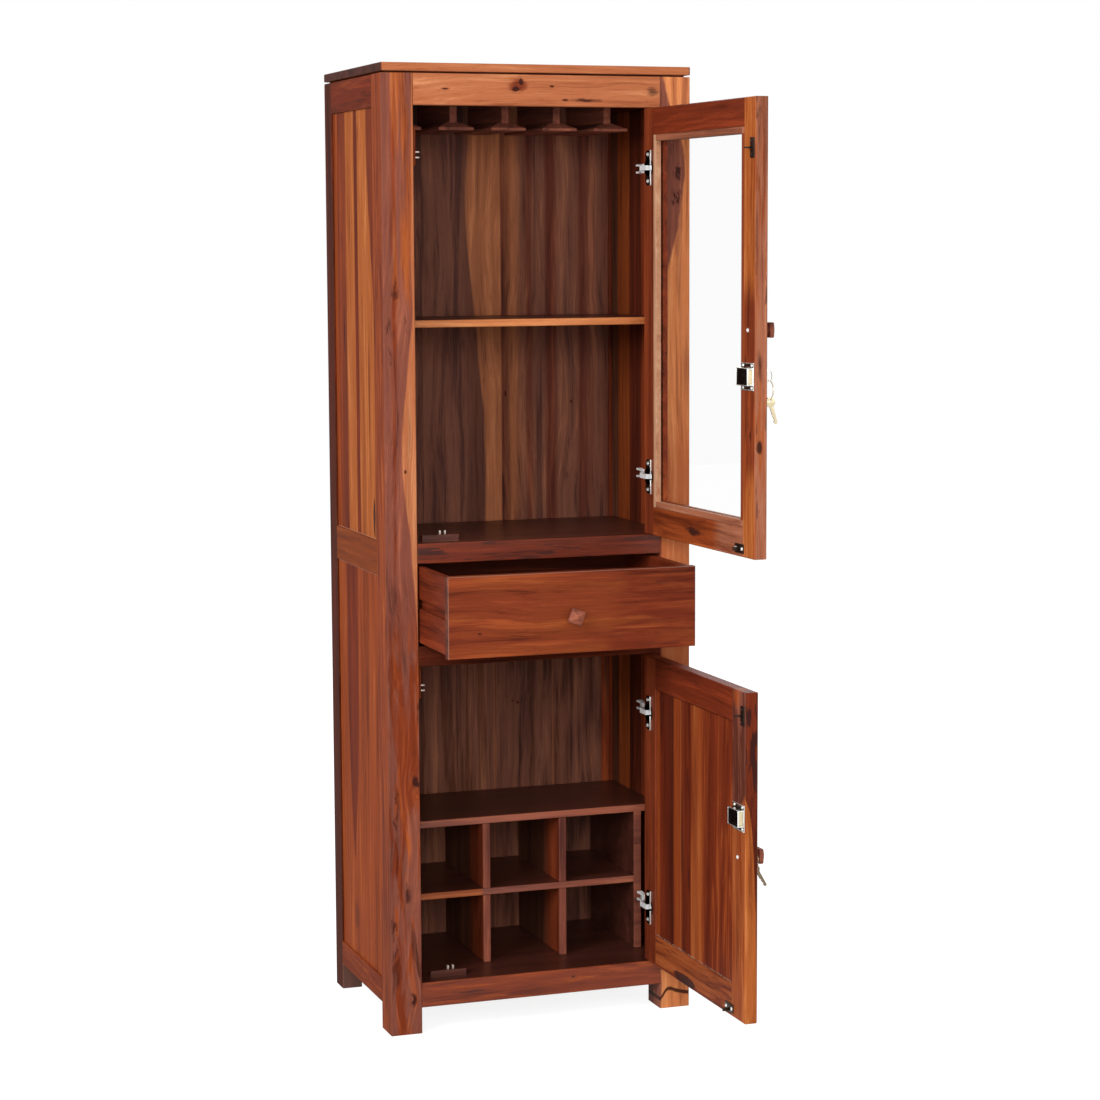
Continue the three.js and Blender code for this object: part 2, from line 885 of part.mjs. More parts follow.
// A strip of even thickness along a path
function strip(path, thick) {
  const points = path.map(([u, v]) => new THREE.Vector2(u, v));
  const offset = (i, side) => {
    const before = points[i].clone().sub(points[Math.max(i - 1, 0)]);
    const after = points[Math.min(i + 1, points.length - 1)].clone().sub(points[i]);
    if (i === 0) before.copy(after);
    if (i === points.length - 1) after.copy(before);
    const mitre = before.normalize().add(after.normalize()).normalize();
    const square = new THREE.Vector2(-mitre.y, mitre.x);
    const reach = side * thick / 2 / mitre.dot(after);
    return points[i].clone().addScaledVector(square, reach).toArray();
  };
  const right = points.map((_, i) => offset(i, -1));
  const left = points.map((_, i) => offset(i, 1));
  return [...right, ...left.reverse()];
}

// The link's pivot lies in the cup, and swings with the door.
function linkPivot(openDegrees) {
  const pivot = new THREE.Vector3(cupMiddle, doorThick - linkPivotDepth, 0).sub(pole);
  return pivot.applyAxisAngle(axisZ, THREE.MathUtils.degToRad(openDegrees)).add(pole);
}

function hingeLink(level, openDegrees) {
  const { x, y } = linkPivot(openDegrees);
  const tailX = armTop + linkInset;
  const path = [
    [x, y], [x - linkStand, y], [x - linkStand, linkTurn],
    [tailX, armSetback - overrun], [tailX, armSetback + linkTail],
  ];
  const span = around(level, linkHeight);
  return join(
    prism("z", strip(path, linkThick), span),
    prism("z", disc([x, y], linkKnuckleRadius, linkKnuckleSides), span),
  );
}

for (const [end, level] of Object.entries(upperHinges))
  place(carcass, `upper_${end}_hinge_link`, hingeLink(level, upperDoorOpen), chrome);
for (const [end, level] of Object.entries(lowerHinges))
  place(carcass, `lower_${end}_hinge_link`, hingeLink(level, lowerDoorOpen), chrome);

// Doors: each is built shut and then swung open about its hinge axis

function hungDoor(openDegrees) {
  const swing = new THREE.Group();
  swing.position.copy(pole);
  swing.rotation.z = THREE.MathUtils.degToRad(openDegrees);
  const shut = new THREE.Group();
  shut.position.copy(pole).negate();
  swing.add(shut);
  carcass.add(swing);
  return shut;
}

const fromHinge = (distance) => doorEdge - distance;
const fromFree = (distance) => -doorEdge + distance;

function cupBore(level) {
  return prism(
    "y",
    disc([level, cupMiddle], cupRadius + seam, cupSides),
    [doorFace - cupDepth - seam, doorFace + overrun],
  );
}

function hingeCup(level) {
  const centre = [level, cupMiddle];
  const flangeSpan = [doorFace + seam, doorFace + seam + cupFlangeThick];
  const wings = prism(
    "y",
    easedRectangle(
      around(level, cupFlangeHeight), around(cupMiddle, cupFlangeWidth), cupFlangeWidth / 4,
    ),
    flangeSpan,
  );
  const rim = prism("y", disc(centre, cupRadius + cupWall, cupSides), flangeSpan);
  const cup = prism("y", disc(centre, cupRadius, cupSides), [doorFace - cupDepth, flangeSpan[1]]);
  const hollow = prism(
    "y",
    disc(centre, cupRadius - cupWall, cupSides),
    [doorFace - cupDepth + cupWall, flangeSpan[1] + overrun],
  );
  const lug = (side) => block({
    x: around(cupMiddle, lugWidth),
    y: [doorFace - cupDepth + cupWall / 2, doorFace - linkPivotDepth + lugCover],
    z: sided(side, linkHeight / 2 + seam, cupRadius - cupWall / 2).map((rise) => level + rise),
  });
  return join(cut(join(wings, rim, cup), hollow), lug(-1), lug(1));
}

function lockBore(level) {
  return prism(
    "y",
    disc([level, lockMiddle], barrelRadius + seam, barrelSides),
    [-overrun, doorFace + overrun],
  );
}

// A plate and a case on the door's inner face, a barrel through the stile, and a slot for the bolt
function rimLock(level, keyInside) {
  const centre = [level, lockMiddle];
  const plate = board(
    "y",
    {
      x: around(lockMiddle, lockPlateWidth),
      y: [plateBack, caseFoot],
      z: around(level, lockPlateHeight),
    },
    lockPlateThick / 4,
  );
  const caseBox = board(
    "y",
    {
      x: around(lockMiddle, lockCaseWidth),
      y: [plateBack, caseFoot + lockCaseDepth],
      z: around(level, lockCaseHeight),
    },
    lockCaseEase,
  );
  const barrel = prism("y", disc(centre, barrelRadius, barrelSides), [-seam - barrelRimThick, caseFoot]);
  const rim = prism(
    "y",
    disc(centre, barrelRimRadius, barrelSides),
    [-seam - barrelRimThick, -seam],
  );
  const channel = grown(boltBox(level), seam);
  channel.x[0] -= overrun;
  const front = -seam - barrelRimThick;
  const opening = keyInside
    ? prism("y", disc(centre, plugRadius + plugPlay, plugSides), [front - overrun, doorFace])
    : block({
      x: around(lockMiddle, keywayWidth),
      y: [front - overrun, front + keywayDepth],
      z: around(level, keywayHeight),
    });
  return cut(join(plate, caseBox, barrel, rim), block(channel), opening);
}

const bolt = (level) => stick("x", boltBox(level), boltEase);

// A square pyramid on the plane Y = base with its point towards -Y
function pyramid(base, side, height) {
  const peak = new THREE.ConeGeometry(side / Math.SQRT2, height, 4);
  peak.rotateY(Math.PI / 4);
  peak.rotateX(Math.PI);
  return peak.translate(0, base - height / 2, 0);
}

// A knob on an outer face that lies at Y = 0 and looks to -Y
function knob() {
  const span = around(0, knobWidth);
  const neck = disc([0, 0], knobNeckRadius, knobNeckSides);
  return join(
    prism("y", neck, [-knobNeckLength - knobEdge / 2, -seam]),
    board("y", { x: span, y: [-knobNeckLength - knobEdge, -knobNeckLength], z: span }),
    pyramid(edgeEase - knobNeckLength - knobEdge, knobWidth, knobPeak + edgeEase),
  );
}

function placeKnob(parent, name, x, z, turn = 0) {
  const mesh = place(parent, name, knob(), redWood);
  mesh.position.set(x, 0, z);
  mesh.rotation.y = -THREE.MathUtils.degToRad(turn);
}

// Keys

// A ring of wire that hangs in a plane square to Y
function wireRing(radius, [x, y, z]) {
  const ring = new THREE.TorusGeometry(radius, wireRadius, wireSides, ringSides);
  ring.rotateX(Math.PI / 2);
  return ring.translate(x, y, z);
}

// A flat key that hangs by its bow from the origin, in the plane of Y and Z
function hangingKey(bowRadius, bowRim, length, keyWidth) {
  const middle = bowRim - bowRadius;
  const bow = prism(
    "x",
    disc([0, middle], bowRadius, keyBowSides),
    around(0, keyThick),
    0,
    disc([0, middle], bowRadius - bowRim, keyBowSides),
  );
  const top = middle - bowRadius + bowRim / 2;
  const foot = middle - bowRadius - length;
  const half = keyWidth / 2;
  const bit = (share) => foot + length * share;
  const blade = prism(
    "x",
    [
      [-half, bit(bladeShares.tip)], [-half * bladeShares.point, foot], [half * bladeShares.point, foot],
      [half, bit(bladeShares.tip)], [half, bit(bladeShares.firstLow)],
      [half * bladeShares.notch, bit(bladeShares.firstHigh)], [half, bit(bladeShares.secondLow)],
      [half * bladeShares.notch, bit(bladeShares.secondHigh)], [half, bit(bladeShares.shoulder)],
      [half, top], [-half, top],
    ],
    around(0, keyThick),
  );
  return join(bow, blade);
}

// The key that stays in the upper lock, with the plug that turns with it. Its bow stands upright.
const plugFront = -seam - barrelRimThick;
const bowMiddle = plugFront - keyShankLength - keyBowLength / 2;
const bowHoleFoot = upperLockLevel - keyBowHeight / 2 + keyBowRim;

function lockKey(level) {
  const plug = prism(
    "y",
    disc([level, lockMiddle], plugRadius, plugSides),
    [plugFront, doorFace - seam],
  );
  const shank = block({
    x: around(lockMiddle, keyThick),
    y: [plugFront - keyShankLength - keyBowRim / 2, plugFront + keyBowRim / 2],
    z: around(level, keyShankHeight),
  });
  const bow = prism(
    "x",
    oval([bowMiddle, level], keyBowLength / 2, keyBowHeight / 2, keyBowSides),
    around(lockMiddle, keyThick),
    0,
    oval([bowMiddle, level], keyBowLength / 2 - keyBowRim, keyBowHeight / 2 - keyBowRim, keyBowSides),
  );
  return join(plug, shank, bow);
}

// A ring through the bow of that key, with the spare key on it
function spareKey() {
  const top = bowHoleFoot + ringPlay + wireRadius;
  const foot = top - 2 * upperRingRadius;
  const key = hangingKey(spareBowRadius, spareBowRim, spareKeyLength, spareKeyWidth);
  key.translate(0, 0, -spareBowRim);
  key.rotateX(-THREE.MathUtils.degToRad(spareKeyLean));
  key.translate(lockMiddle, bowMiddle, foot + wireRadius - ringMerge + spareBowRim);
  return join(wireRing(upperRingRadius, [lockMiddle, bowMiddle, top - upperRingRadius]), key);
}

// A ring round the neck of the lower knob, with that door's key on it
function knobKey(x, z) {
  const top = z + knobNeckRadius + ringPlay + wireRadius;
  const foot = top - 2 * lowerRingRadius;
  const key = hangingKey(lowerBowRadius, lowerBowRim, lowerKeyLength, lowerKeyWidth);
  key.rotateZ(THREE.MathUtils.degToRad(lowerKeyTurn));
  key.translate(x, -lowerRingStand, foot + wireRadius - ringMerge);
  return join(wireRing(lowerRingRadius, [x, -lowerRingStand, top - lowerRingRadius]), key);
}

// Upper door: glass in a rabbet behind a lip, held by a raw wood bead on the inner side

const upperDoor = hungDoor(upperDoorOpen);
const doorWidth = [-doorEdge, doorEdge];
const rabbetX = [fromFree(upperStile), fromHinge(upperStile)];
const rabbetZ = [upperDoorFoot + upperDoorBottomRail, upperDoorHead - upperDoorTopRail];
const sightX = grownSpan(rabbetX, -beadWidth);
const sightZ = grownSpan(rabbetZ, -beadWidth);
const beadFoot = doorThick - beadDepth;
const glassSpan = [beadFoot - seam - glassThick, beadFoot - seam];

place(
  upperDoor,
  "upper_door_frame",
  cut(
    join(
      prism(
        "y",
        rectangle([upperDoorFoot, upperDoorHead], doorWidth),
        [0, doorThick],
        doorEase,
        rectangle(sightZ, sightX),
      ),
      ...sideStrike(upperDoorHead, upperSideCatchDrop),
      ...floorStrike(upperDoorFoot, displayLevel, upperFloorCatchInset),
    ),
    block({ x: rabbetX, y: [glassSpan[0] - seam, doorThick + overrun], z: rabbetZ }),
    cupBore(upperHinges.top),
    cupBore(upperHinges.bottom),
    lockBore(upperLockLevel),
  ),
  honeyWood,
);
place(
  upperDoor,
  "upper_door_glass",
  block({ x: grownSpan(rabbetX, -glassPlay), y: glassSpan, z: grownSpan(rabbetZ, -glassPlay) }),
  clearGlass,
);
place(
  upperDoor,
  "upper_door_bead",
  prism(
    "y",
    rectangle(grownSpan(rabbetZ, -seam), grownSpan(rabbetX, -seam)),
    [beadFoot, doorThick],
    beadEase,
    rectangle(sightZ, sightX),
  ),
  rawWood,
);
for (const [end, level] of Object.entries(upperHinges))
  place(upperDoor, `upper_${end}_hinge_cup`, hingeCup(level), chrome);
place(upperDoor, "upper_lock", rimLock(upperLockLevel, true), chrome);
place(upperDoor, "upper_bolt", bolt(upperLockLevel), brass);
place(upperDoor, "upper_key", lockKey(upperLockLevel), brass);
place(upperDoor, "upper_spare_key", spareKey(), brass);
placeKnob(upperDoor, "upper_knob", fromFree(upperKnobInset), upperDoorFoot + upperKnobRise);

// Lower door: a panel in a groove all round

const lowerDoor = hungDoor(lowerDoorOpen);
const fieldX = [fromFree(lowerStile), fromHinge(lowerStile)];
const fieldZ = [lowerDoorFoot + lowerDoorRail, lowerDoorHead - lowerDoorRail];
const doorPanelBox = {
  x: grownSpan(fieldX, doorPanelTongue - seam),
  y: [doorThick - doorPanelRecess - doorPanelThick, doorThick - doorPanelRecess],
  z: grownSpan(fieldZ, doorPanelTongue - seam),
};
place(
  lowerDoor,
  "lower_door_frame",
  cut(
    join(
      prism(
        "y",
        rectangle([lowerDoorFoot, lowerDoorHead], doorWidth),
        [0, doorThick],
        doorEase,
        rectangle(fieldZ, fieldX),
      ),
      ...sideStrike(lowerDoorHead, lowerSideCatchDrop),
      ...floorStrike(lowerDoorFoot, floorLevel, lowerFloorCatchInset),
    ),
    block(grown(doorPanelBox, seam)),
    cupBore(lowerHinges.top),
    cupBore(lowerHinges.bottom),
    lockBore(lowerLockLevel),
  ),
  honeyWood,
);
place(lowerDoor, "lower_door_panel", block(doorPanelBox), redWood);
for (const [end, level] of Object.entries(lowerHinges))
  place(lowerDoor, `lower_${end}_hinge_cup`, hingeCup(level), chrome);
place(lowerDoor, "lower_lock", rimLock(lowerLockLevel, false), chrome);
place(lowerDoor, "lower_bolt", bolt(lowerLockLevel), brass);
const lowerKnobX = fromFree(lowerKnobInset);
const lowerKnobLevel = lowerDoorFoot + lowerKnobRise;
placeKnob(lowerDoor, "lower_knob", lowerKnobX, lowerKnobLevel);
place(lowerDoor, "lower_key", knobKey(lowerKnobX, lowerKnobLevel), brass);

// Drawer: built shut, then pulled out along its runners

const drawer = new THREE.Group();
drawer.position.y = -drawerOut;
carcass.add(drawer);

const drawerFoot = deckLevel + drawerSillGap;
const drawerHead = floorRailLevel - drawerHeadGap;
const housingFace = drawerFrontThick - drawerHousing;
const drawerSideInner = drawerSideOuter - drawerSideThick;
const drawerSideZ = [drawerFoot + drawerSideSill, drawerHead - drawerSideDrop];
const drawerSideBox = (side) => ({
  x: sided(side, drawerSideInner, drawerSideOuter),
  y: [housingFace + seam, drawerLength],
  z: drawerSideZ,
});
const drawerBottomLevel = drawerSideZ[0] + drawerBottomRise;
const drawerBottomBox = {
  x: grownSpan([-drawerSideInner, drawerSideInner], drawerBottomTongue - seam),
  y: [housingFace + seam, drawerLength],
  z: [drawerBottomLevel, drawerBottomLevel + drawerBottomThick],
};

place(
  drawer,
  "drawer_front",
  cut(
    board("y", {
      x: grownSpan([-legFace, legFace], -drawerGap),
      y: [0, drawerFrontThick],
      z: [drawerFoot, drawerHead],
    }),
    block(grown(drawerSideBox(-1), seam)),
    block(grown(drawerSideBox(1), seam)),
    block(grown(drawerBottomBox, seam)),
  ),
  honeyWood,
);
for (const [name, side] of [["left", -1], ["right", 1]]) {
  const runnerGroove = block({
    x: sided(side, drawerSideOuter - grooveDepth, drawerSideOuter + overrun),
    y: [drawerFrontThick + grooveStop, drawerLength + overrun],
    z: [grooveFoot, grooveHead],
  });
  const sideBoard = board("x", drawerSideBox(side));
  place(
    drawer,
    `drawer_${name}_side`,
    cut(sideBoard, runnerGroove, block(grown(drawerBottomBox, seam))),
    redWood,
  );
}
place(drawer, "drawer_bottom", block(drawerBottomBox), darkWood);
place(
  drawer,
  "drawer_back",
  board("y", {
    x: grownSpan([-drawerSideInner, drawerSideInner], -seam),
    y: [drawerLength - drawerBackThick, drawerLength],
    z: [drawerBottomBox.z[1] + seam, drawerSideZ[1] - drawerBackDrop],
  }),
  redWood,
);
placeKnob(drawer, "drawer_knob", 0, drawerHead - drawerKnobDrop, drawerKnobTurn);

// The origin is on the floor, under the middle of the whole piece as it stands open.
const middle = new THREE.Box3().setFromObject(carcass).getCenter(new THREE.Vector3());
carcass.position.set(-middle.x, -middle.y, 0);

const armoire = new THREE.Group();
armoire.add(carcass);

export default armoire;
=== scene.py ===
import json
import math

import bmesh
import bpy
from mathutils import Matrix, Vector

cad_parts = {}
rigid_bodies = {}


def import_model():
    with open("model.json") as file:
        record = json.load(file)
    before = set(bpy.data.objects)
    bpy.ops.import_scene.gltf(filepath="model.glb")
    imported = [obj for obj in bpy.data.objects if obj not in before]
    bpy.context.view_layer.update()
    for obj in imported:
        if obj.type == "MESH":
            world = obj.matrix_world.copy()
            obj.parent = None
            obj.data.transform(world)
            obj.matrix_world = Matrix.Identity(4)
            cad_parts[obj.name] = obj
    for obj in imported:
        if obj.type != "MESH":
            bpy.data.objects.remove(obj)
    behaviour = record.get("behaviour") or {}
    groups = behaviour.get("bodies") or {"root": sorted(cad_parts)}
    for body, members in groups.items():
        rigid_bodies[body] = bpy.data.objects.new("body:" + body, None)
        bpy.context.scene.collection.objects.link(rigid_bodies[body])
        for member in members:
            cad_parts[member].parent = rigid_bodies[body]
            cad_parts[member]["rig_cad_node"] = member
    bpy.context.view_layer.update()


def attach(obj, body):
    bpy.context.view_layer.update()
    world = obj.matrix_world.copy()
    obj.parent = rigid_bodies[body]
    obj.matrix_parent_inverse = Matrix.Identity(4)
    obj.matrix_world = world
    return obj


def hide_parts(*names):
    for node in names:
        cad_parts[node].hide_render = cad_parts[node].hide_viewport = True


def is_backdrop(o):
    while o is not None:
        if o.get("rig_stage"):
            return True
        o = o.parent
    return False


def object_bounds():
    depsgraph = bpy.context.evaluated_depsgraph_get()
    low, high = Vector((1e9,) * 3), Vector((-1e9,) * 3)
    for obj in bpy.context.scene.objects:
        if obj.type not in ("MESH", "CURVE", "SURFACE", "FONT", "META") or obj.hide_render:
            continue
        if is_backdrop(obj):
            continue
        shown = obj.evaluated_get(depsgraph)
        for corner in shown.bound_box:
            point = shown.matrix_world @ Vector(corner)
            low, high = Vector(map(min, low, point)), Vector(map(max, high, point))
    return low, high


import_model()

# ---------------------------------------------------------------- frame of the carcass, in mm
# Wood is laid out in the carcass's own millimetres: X centred, Y = 0 at its front, Z from the
# floor, with the doors and the drawer shut. Each body has the move from its rest pose to there.
SHIFT_Y = 38.09085612
POLE = (238.0, -1.0)
OPEN = {"upper_door": 92.2, "lower_door": 90.4}
DRAWER_OUT = 184.0


def turned(deg, x, y):
    a = math.radians(deg)
    return x * math.cos(a) - y * math.sin(a), x * math.sin(a) + y * math.cos(a)


def shut_move(deg):
    """Location and turn that take world millimetres to a shut door's carcass millimetres."""
    x, y = turned(-deg, -POLE[0], -SHIFT_Y - POLE[1])
    return (x + POLE[0], y + POLE[1], 0), math.radians(-deg)


PLACES = {
    "cabinet": ((0, -SHIFT_Y, 0), 0),
    "drawer": ((0, -SHIFT_Y + DRAWER_OUT, 0), 0),
    "upper_door": shut_move(OPEN["upper_door"]),
    "lower_door": shut_move(OPEN["lower_door"]),
}


def rgb(code):
    """An sRGB hex colour as linear RGBA."""
    part = [int(code[i:i + 2], 16) / 255 for i in (0, 2, 4)]
    lin = [c / 12.92 if c <= 0.04045 else ((c + 0.055) / 1.055) ** 2.4 for c in part]
    return (*lin, 1.0)


# ---------------------------------------------------------------- shader writing helpers
class Web:
    """Writes a node tree from short expressions; an argument is a number, a tuple or a socket."""

    def __init__(self, tree):
        self.tree = tree
        tree.nodes.clear()

    def put(self, socket, value):
        if isinstance(value, bpy.types.NodeSocket):
            self.tree.links.new(value, socket)
        elif value is not None:
            socket.default_value = value

    def node(self, kind, values=None, **sets):
        """A node with its settings, and its sockets' values by name."""
        n = self.tree.nodes.new(kind)
        for key, value in sets.items():
            setattr(n, key, value)
        for key, value in (values or {}).items():
            if value is not None:
                self.put(n.inputs[key], value)
        return n

    def fill(self, n, *values):
        """Fills a node's first sockets; its first result."""
        for socket, value in zip(n.inputs, values):
            self.put(socket, value)
        return n.outputs[0]

    def placed(self, body):
        """The place of a point of a body, in the carcass's millimetres with the doors shut."""
        where = self.node("ShaderNodeTexCoord").outputs["Object"]
        location, turn = PLACES[body]
        return self.node("ShaderNodeMapping", {
            "Vector": where, "Location": location, "Rotation": (0, 0, turn),
            "Scale": (1000, 1000, 1000)}).outputs[0]

    def math(self, op, a, b=None, clamp=False):
        return self.fill(self.node("ShaderNodeMath", operation=op, use_clamp=clamp), a, b)

    def add(self, a, b):
        return self.math("ADD", a, b)

    def sub(self, a, b):
        return self.math("SUBTRACT", a, b)

    def mul(self, a, b):
        return self.math("MULTIPLY", a, b)

    def vec(self, op, a, b=None, scale=None):
        n = self.node("ShaderNodeVectorMath", {"Scale": scale}, operation=op)
        self.fill(n, a, b)
        return n.outputs["Value" if op in ("LENGTH", "DOT_PRODUCT") else "Vector"]

    def split(self, v):
        return self.node("ShaderNodeSeparateXYZ", {"Vector": v}).outputs[:3]

    def join(self, x, y, z):
        return self.fill(self.node("ShaderNodeCombineXYZ"), x, y, z)

    def noise(self, v, detail, rough, bend=0.0):
        return self.node("ShaderNodeTexNoise", {
            "Vector": v, "Scale": 1.0, "Detail": detail, "Roughness": rough,
            "Distortion": bend}).outputs[0]

    def step(self, value, low, high):
        """Smooth step from 0 at low to 1 at high; low may lie above high."""
        return self.fill(self.node("ShaderNodeMapRange", interpolation_type="SMOOTHSTEP"),
                         value, low, high, 0.0, 1.0)

    def mix(self, share, a, b, kind="RGBA"):
        n = self.node("ShaderNodeMix", data_type=kind)
        for socket, value in zip([s for s in n.inputs if s.enabled], (share, a, b)):
            self.put(socket, value)
        return next(s for s in n.outputs if s.enabled)

    def ramp(self, value, stops, kind="LINEAR"):
        n = self.node("ShaderNodeValToRGB")
        n.color_ramp.interpolation = kind
        points = n.color_ramp.elements
        while len(points) < len(stops):
            points.new(0.5)
        for point, (at, color) in zip(points, sorted(stops, key=lambda s: s[0])):
            point.position = at
            point.color = color
        return self.fill(n, value)

    def share(self, value, low, high):
        """How far a value lies on the way from low to high, 0 to 1."""
        return self.math("DIVIDE", self.sub(value, low), high - low, clamp=True)

    def curve(self, value, points):
        """A number read off a line through points (value, number)."""
        places, numbers = zip(*points)
        low, high = min(places), max(places)
        base, size = min(numbers), max(max(numbers) - min(numbers), 1e-6)
        stops = [((v - low) / (high - low), (((n - base) / size),) * 3 + (1,)) for v, n in points]
        grey = self.ramp(self.share(value, low, high), stops, "B_SPLINE")
        return self.add(self.mul(grey, size), base)

    def surface(self, values, height, strength, distance, normal=None):
        """The shader with these values in its sockets, and its relief."""
        relief = self.node("ShaderNodeBump", {"Strength": strength, "Distance": distance,
                                              "Height": height, "Normal": normal})
        shader = self.node("ShaderNodeBsdfPrincipled", {**values, "Normal": relief.outputs[0]})
        self.node("ShaderNodeOutputMaterial", {"Surface": shader.outputs[0]})


def sheesham():
    """The wood: streaky heartwood with figure, dark veins and pores, in millimetres along Z."""
    tree = bpy.data.node_groups.new("sheesham", "ShaderNodeTree")
    for way, kind, names in (("INPUT", "Vector", "Place"), ("INPUT", "Color", "Light Mid Dark Vein"),
                             ("INPUT", "Float", "Seed Veins Figure Bias Veil"),
                             ("OUTPUT", "Color", "Color"), ("OUTPUT", "Float", "Height Gloss")):
        for name in names.split():
            tree.interface.new_socket(name, in_out=way, socket_type=f"NodeSocket{kind}")
    w = Web(tree)
    pins = w.node("NodeGroupInput").outputs
    away = w.vec("SCALE", w.join(3.17, 1.93, 5.71), scale=pins["Seed"])
    place = w.vec("ADD", w.vec("SCALE", pins["Place"], scale=0.001), away)

    def grain(v, stretch, detail, rough, bend=0.0):
        return w.noise(w.vec("MULTIPLY", v, stretch), detail, rough, bend)

    def swing(value, size):
        return w.mul(w.sub(value, 0.5), size)

    # the grain wanders: slow bends along the board, more where it is figured
    slow = grain(place, (5, 5, 1.7), 2, 0.5)
    wander = swing(slow, w.add(w.mul(pins["Figure"], 0.16), 0.015))
    bent = w.vec("ADD", place, w.join(wander, w.mul(wander, 0.7), 0))
    broad = grain(bent, (30, 30, 1.6), 3, 0.6)
    middle = grain(bent, (105, 105, 3.6), 4, 0.62)
    fine = grain(bent, (420, 420, 11), 3, 0.6)
    pores = grain(bent, (1300, 1300, 42), 2, 0.5)
    # growth rings round a heart that lies off the board
    bx, by, _ = w.split(bent)
    ax, ay, _ = w.split(away)
    radius = w.vec("LENGTH", w.join(w.sub(w.sub(bx, ax), 0.03), w.sub(w.sub(by, ay), 0.11), 0))
    phase = w.add(w.mul(radius, 620), w.mul(middle, 5.0))
    rings = w.mul(w.math("SINE", phase), w.mul(pins["Figure"], 0.07))
    tone = w.add(swing(broad, 1.3), swing(middle, 1.0))
    tone = w.add(w.add(tone, rings), swing(fine, 0.62))
    tone = w.add(w.add(tone, 0.5), pins["Bias"])
    color = w.mix(w.step(tone, 0.12, 0.50), pins["Dark"], pins["Mid"])
    color = w.mix(w.step(tone, 0.50, 0.90), color, pins["Light"])
    # purple-black veins, sharper on one side
    vein = grain(w.vec("ADD", bent, (7, 3, 1)), (17, 17, 1.0), 4, 0.55, 0.5)
    vein = w.add(vein, swing(middle, 0.22))
    thin = grain(w.vec("ADD", bent, (2, 5, 4)), (85, 85, 2.2), 3, 0.55, 0.4)
    lined = w.math("MAXIMUM", w.step(vein, 0.53, 0.63), w.mul(w.step(thin, 0.57, 0.66), 0.8))
    veil = w.math("MAXIMUM", w.mul(lined, pins["Veins"]), pins["Veil"], clamp=True)
    veil = w.mul(w.step(w.add(swing(middle, 0.9), veil), 0.25, 0.85), 0.92)
    color = w.mix(veil, color, pins["Vein"])
    dash = w.mul(w.step(pores, 0.60, 0.74), 0.34)
    w.node("NodeGroupOutput", {
        "Color": w.mix(dash, color, rgb("1c0a06")),
        "Height": w.sub(w.add(w.mul(fine, 0.55), w.mul(middle, 0.45)), dash),
        "Gloss": w.add(w.mul(fine, 0.16), w.add(w.mul(middle, 0.10), w.mul(dash, 0.4)))})
    return tree


SHEESHAM = sheesham()

# Tones of the wood: light, middle and dark
TONES = {
    "honey": ("d08a5e", "b56a44", "8c482c"),
    "stripe": ("e69a60", "cc7a46", "a4562e"),
    "pale": ("efa168", "da8450", "ab613a"),
    "bright": ("d2824a", "b2602e", "823e1c"),
    "orange": ("c8743f", "a4542c", "77361b"),
    "copper": ("bc6230", "9a4722", "6e2f16"),
    "amber": ("a8582c", "86401f", "642c15"),
    "rust": ("9c4826", "7d361e", "562113"),
    "red": ("8f3b20", "702c18", "4a1b10"),
    "deep": ("6e2e1d", "502216", "34150e"),
    "rose": ("c07c5e", "a46449", "7c4633"),
    "brown": ("c07a52", "a06140", "764430"),
    "dusk": ("9c644a", "774a3a", "503029"),
    "mauve": ("aa6249", "854b3c", "56302a"),
    "plum": ("844833", "603024", "3c1d18"),
    "umber": ("7a4a34", "5a3425", "3a2119"),
    "dark": ("62332a", "4a251b", "341812"),
    "raw": ("dcb08e", "c79574", "a07154"),
}
# the last of these colours paints the arrises lighter: rubbed wear, and a painted highlight along them
VEIN, GLUE, RUBBED_AND_HIGHLIT = rgb("351a17"), rgb("200c08"), rgb("c08258")


def new_material(name):
    material = bpy.data.materials.new(name)
    material.use_nodes = True
    return material


def wear(name, material):
    """Gives a CAD node its material."""
    obj = next(o for o in bpy.data.objects if o.get("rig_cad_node") == name)
    if not obj.material_slots:
        obj.data.materials.append(material)
    for slot in obj.material_slots:
        slot.link = "OBJECT"
        slot.material = material


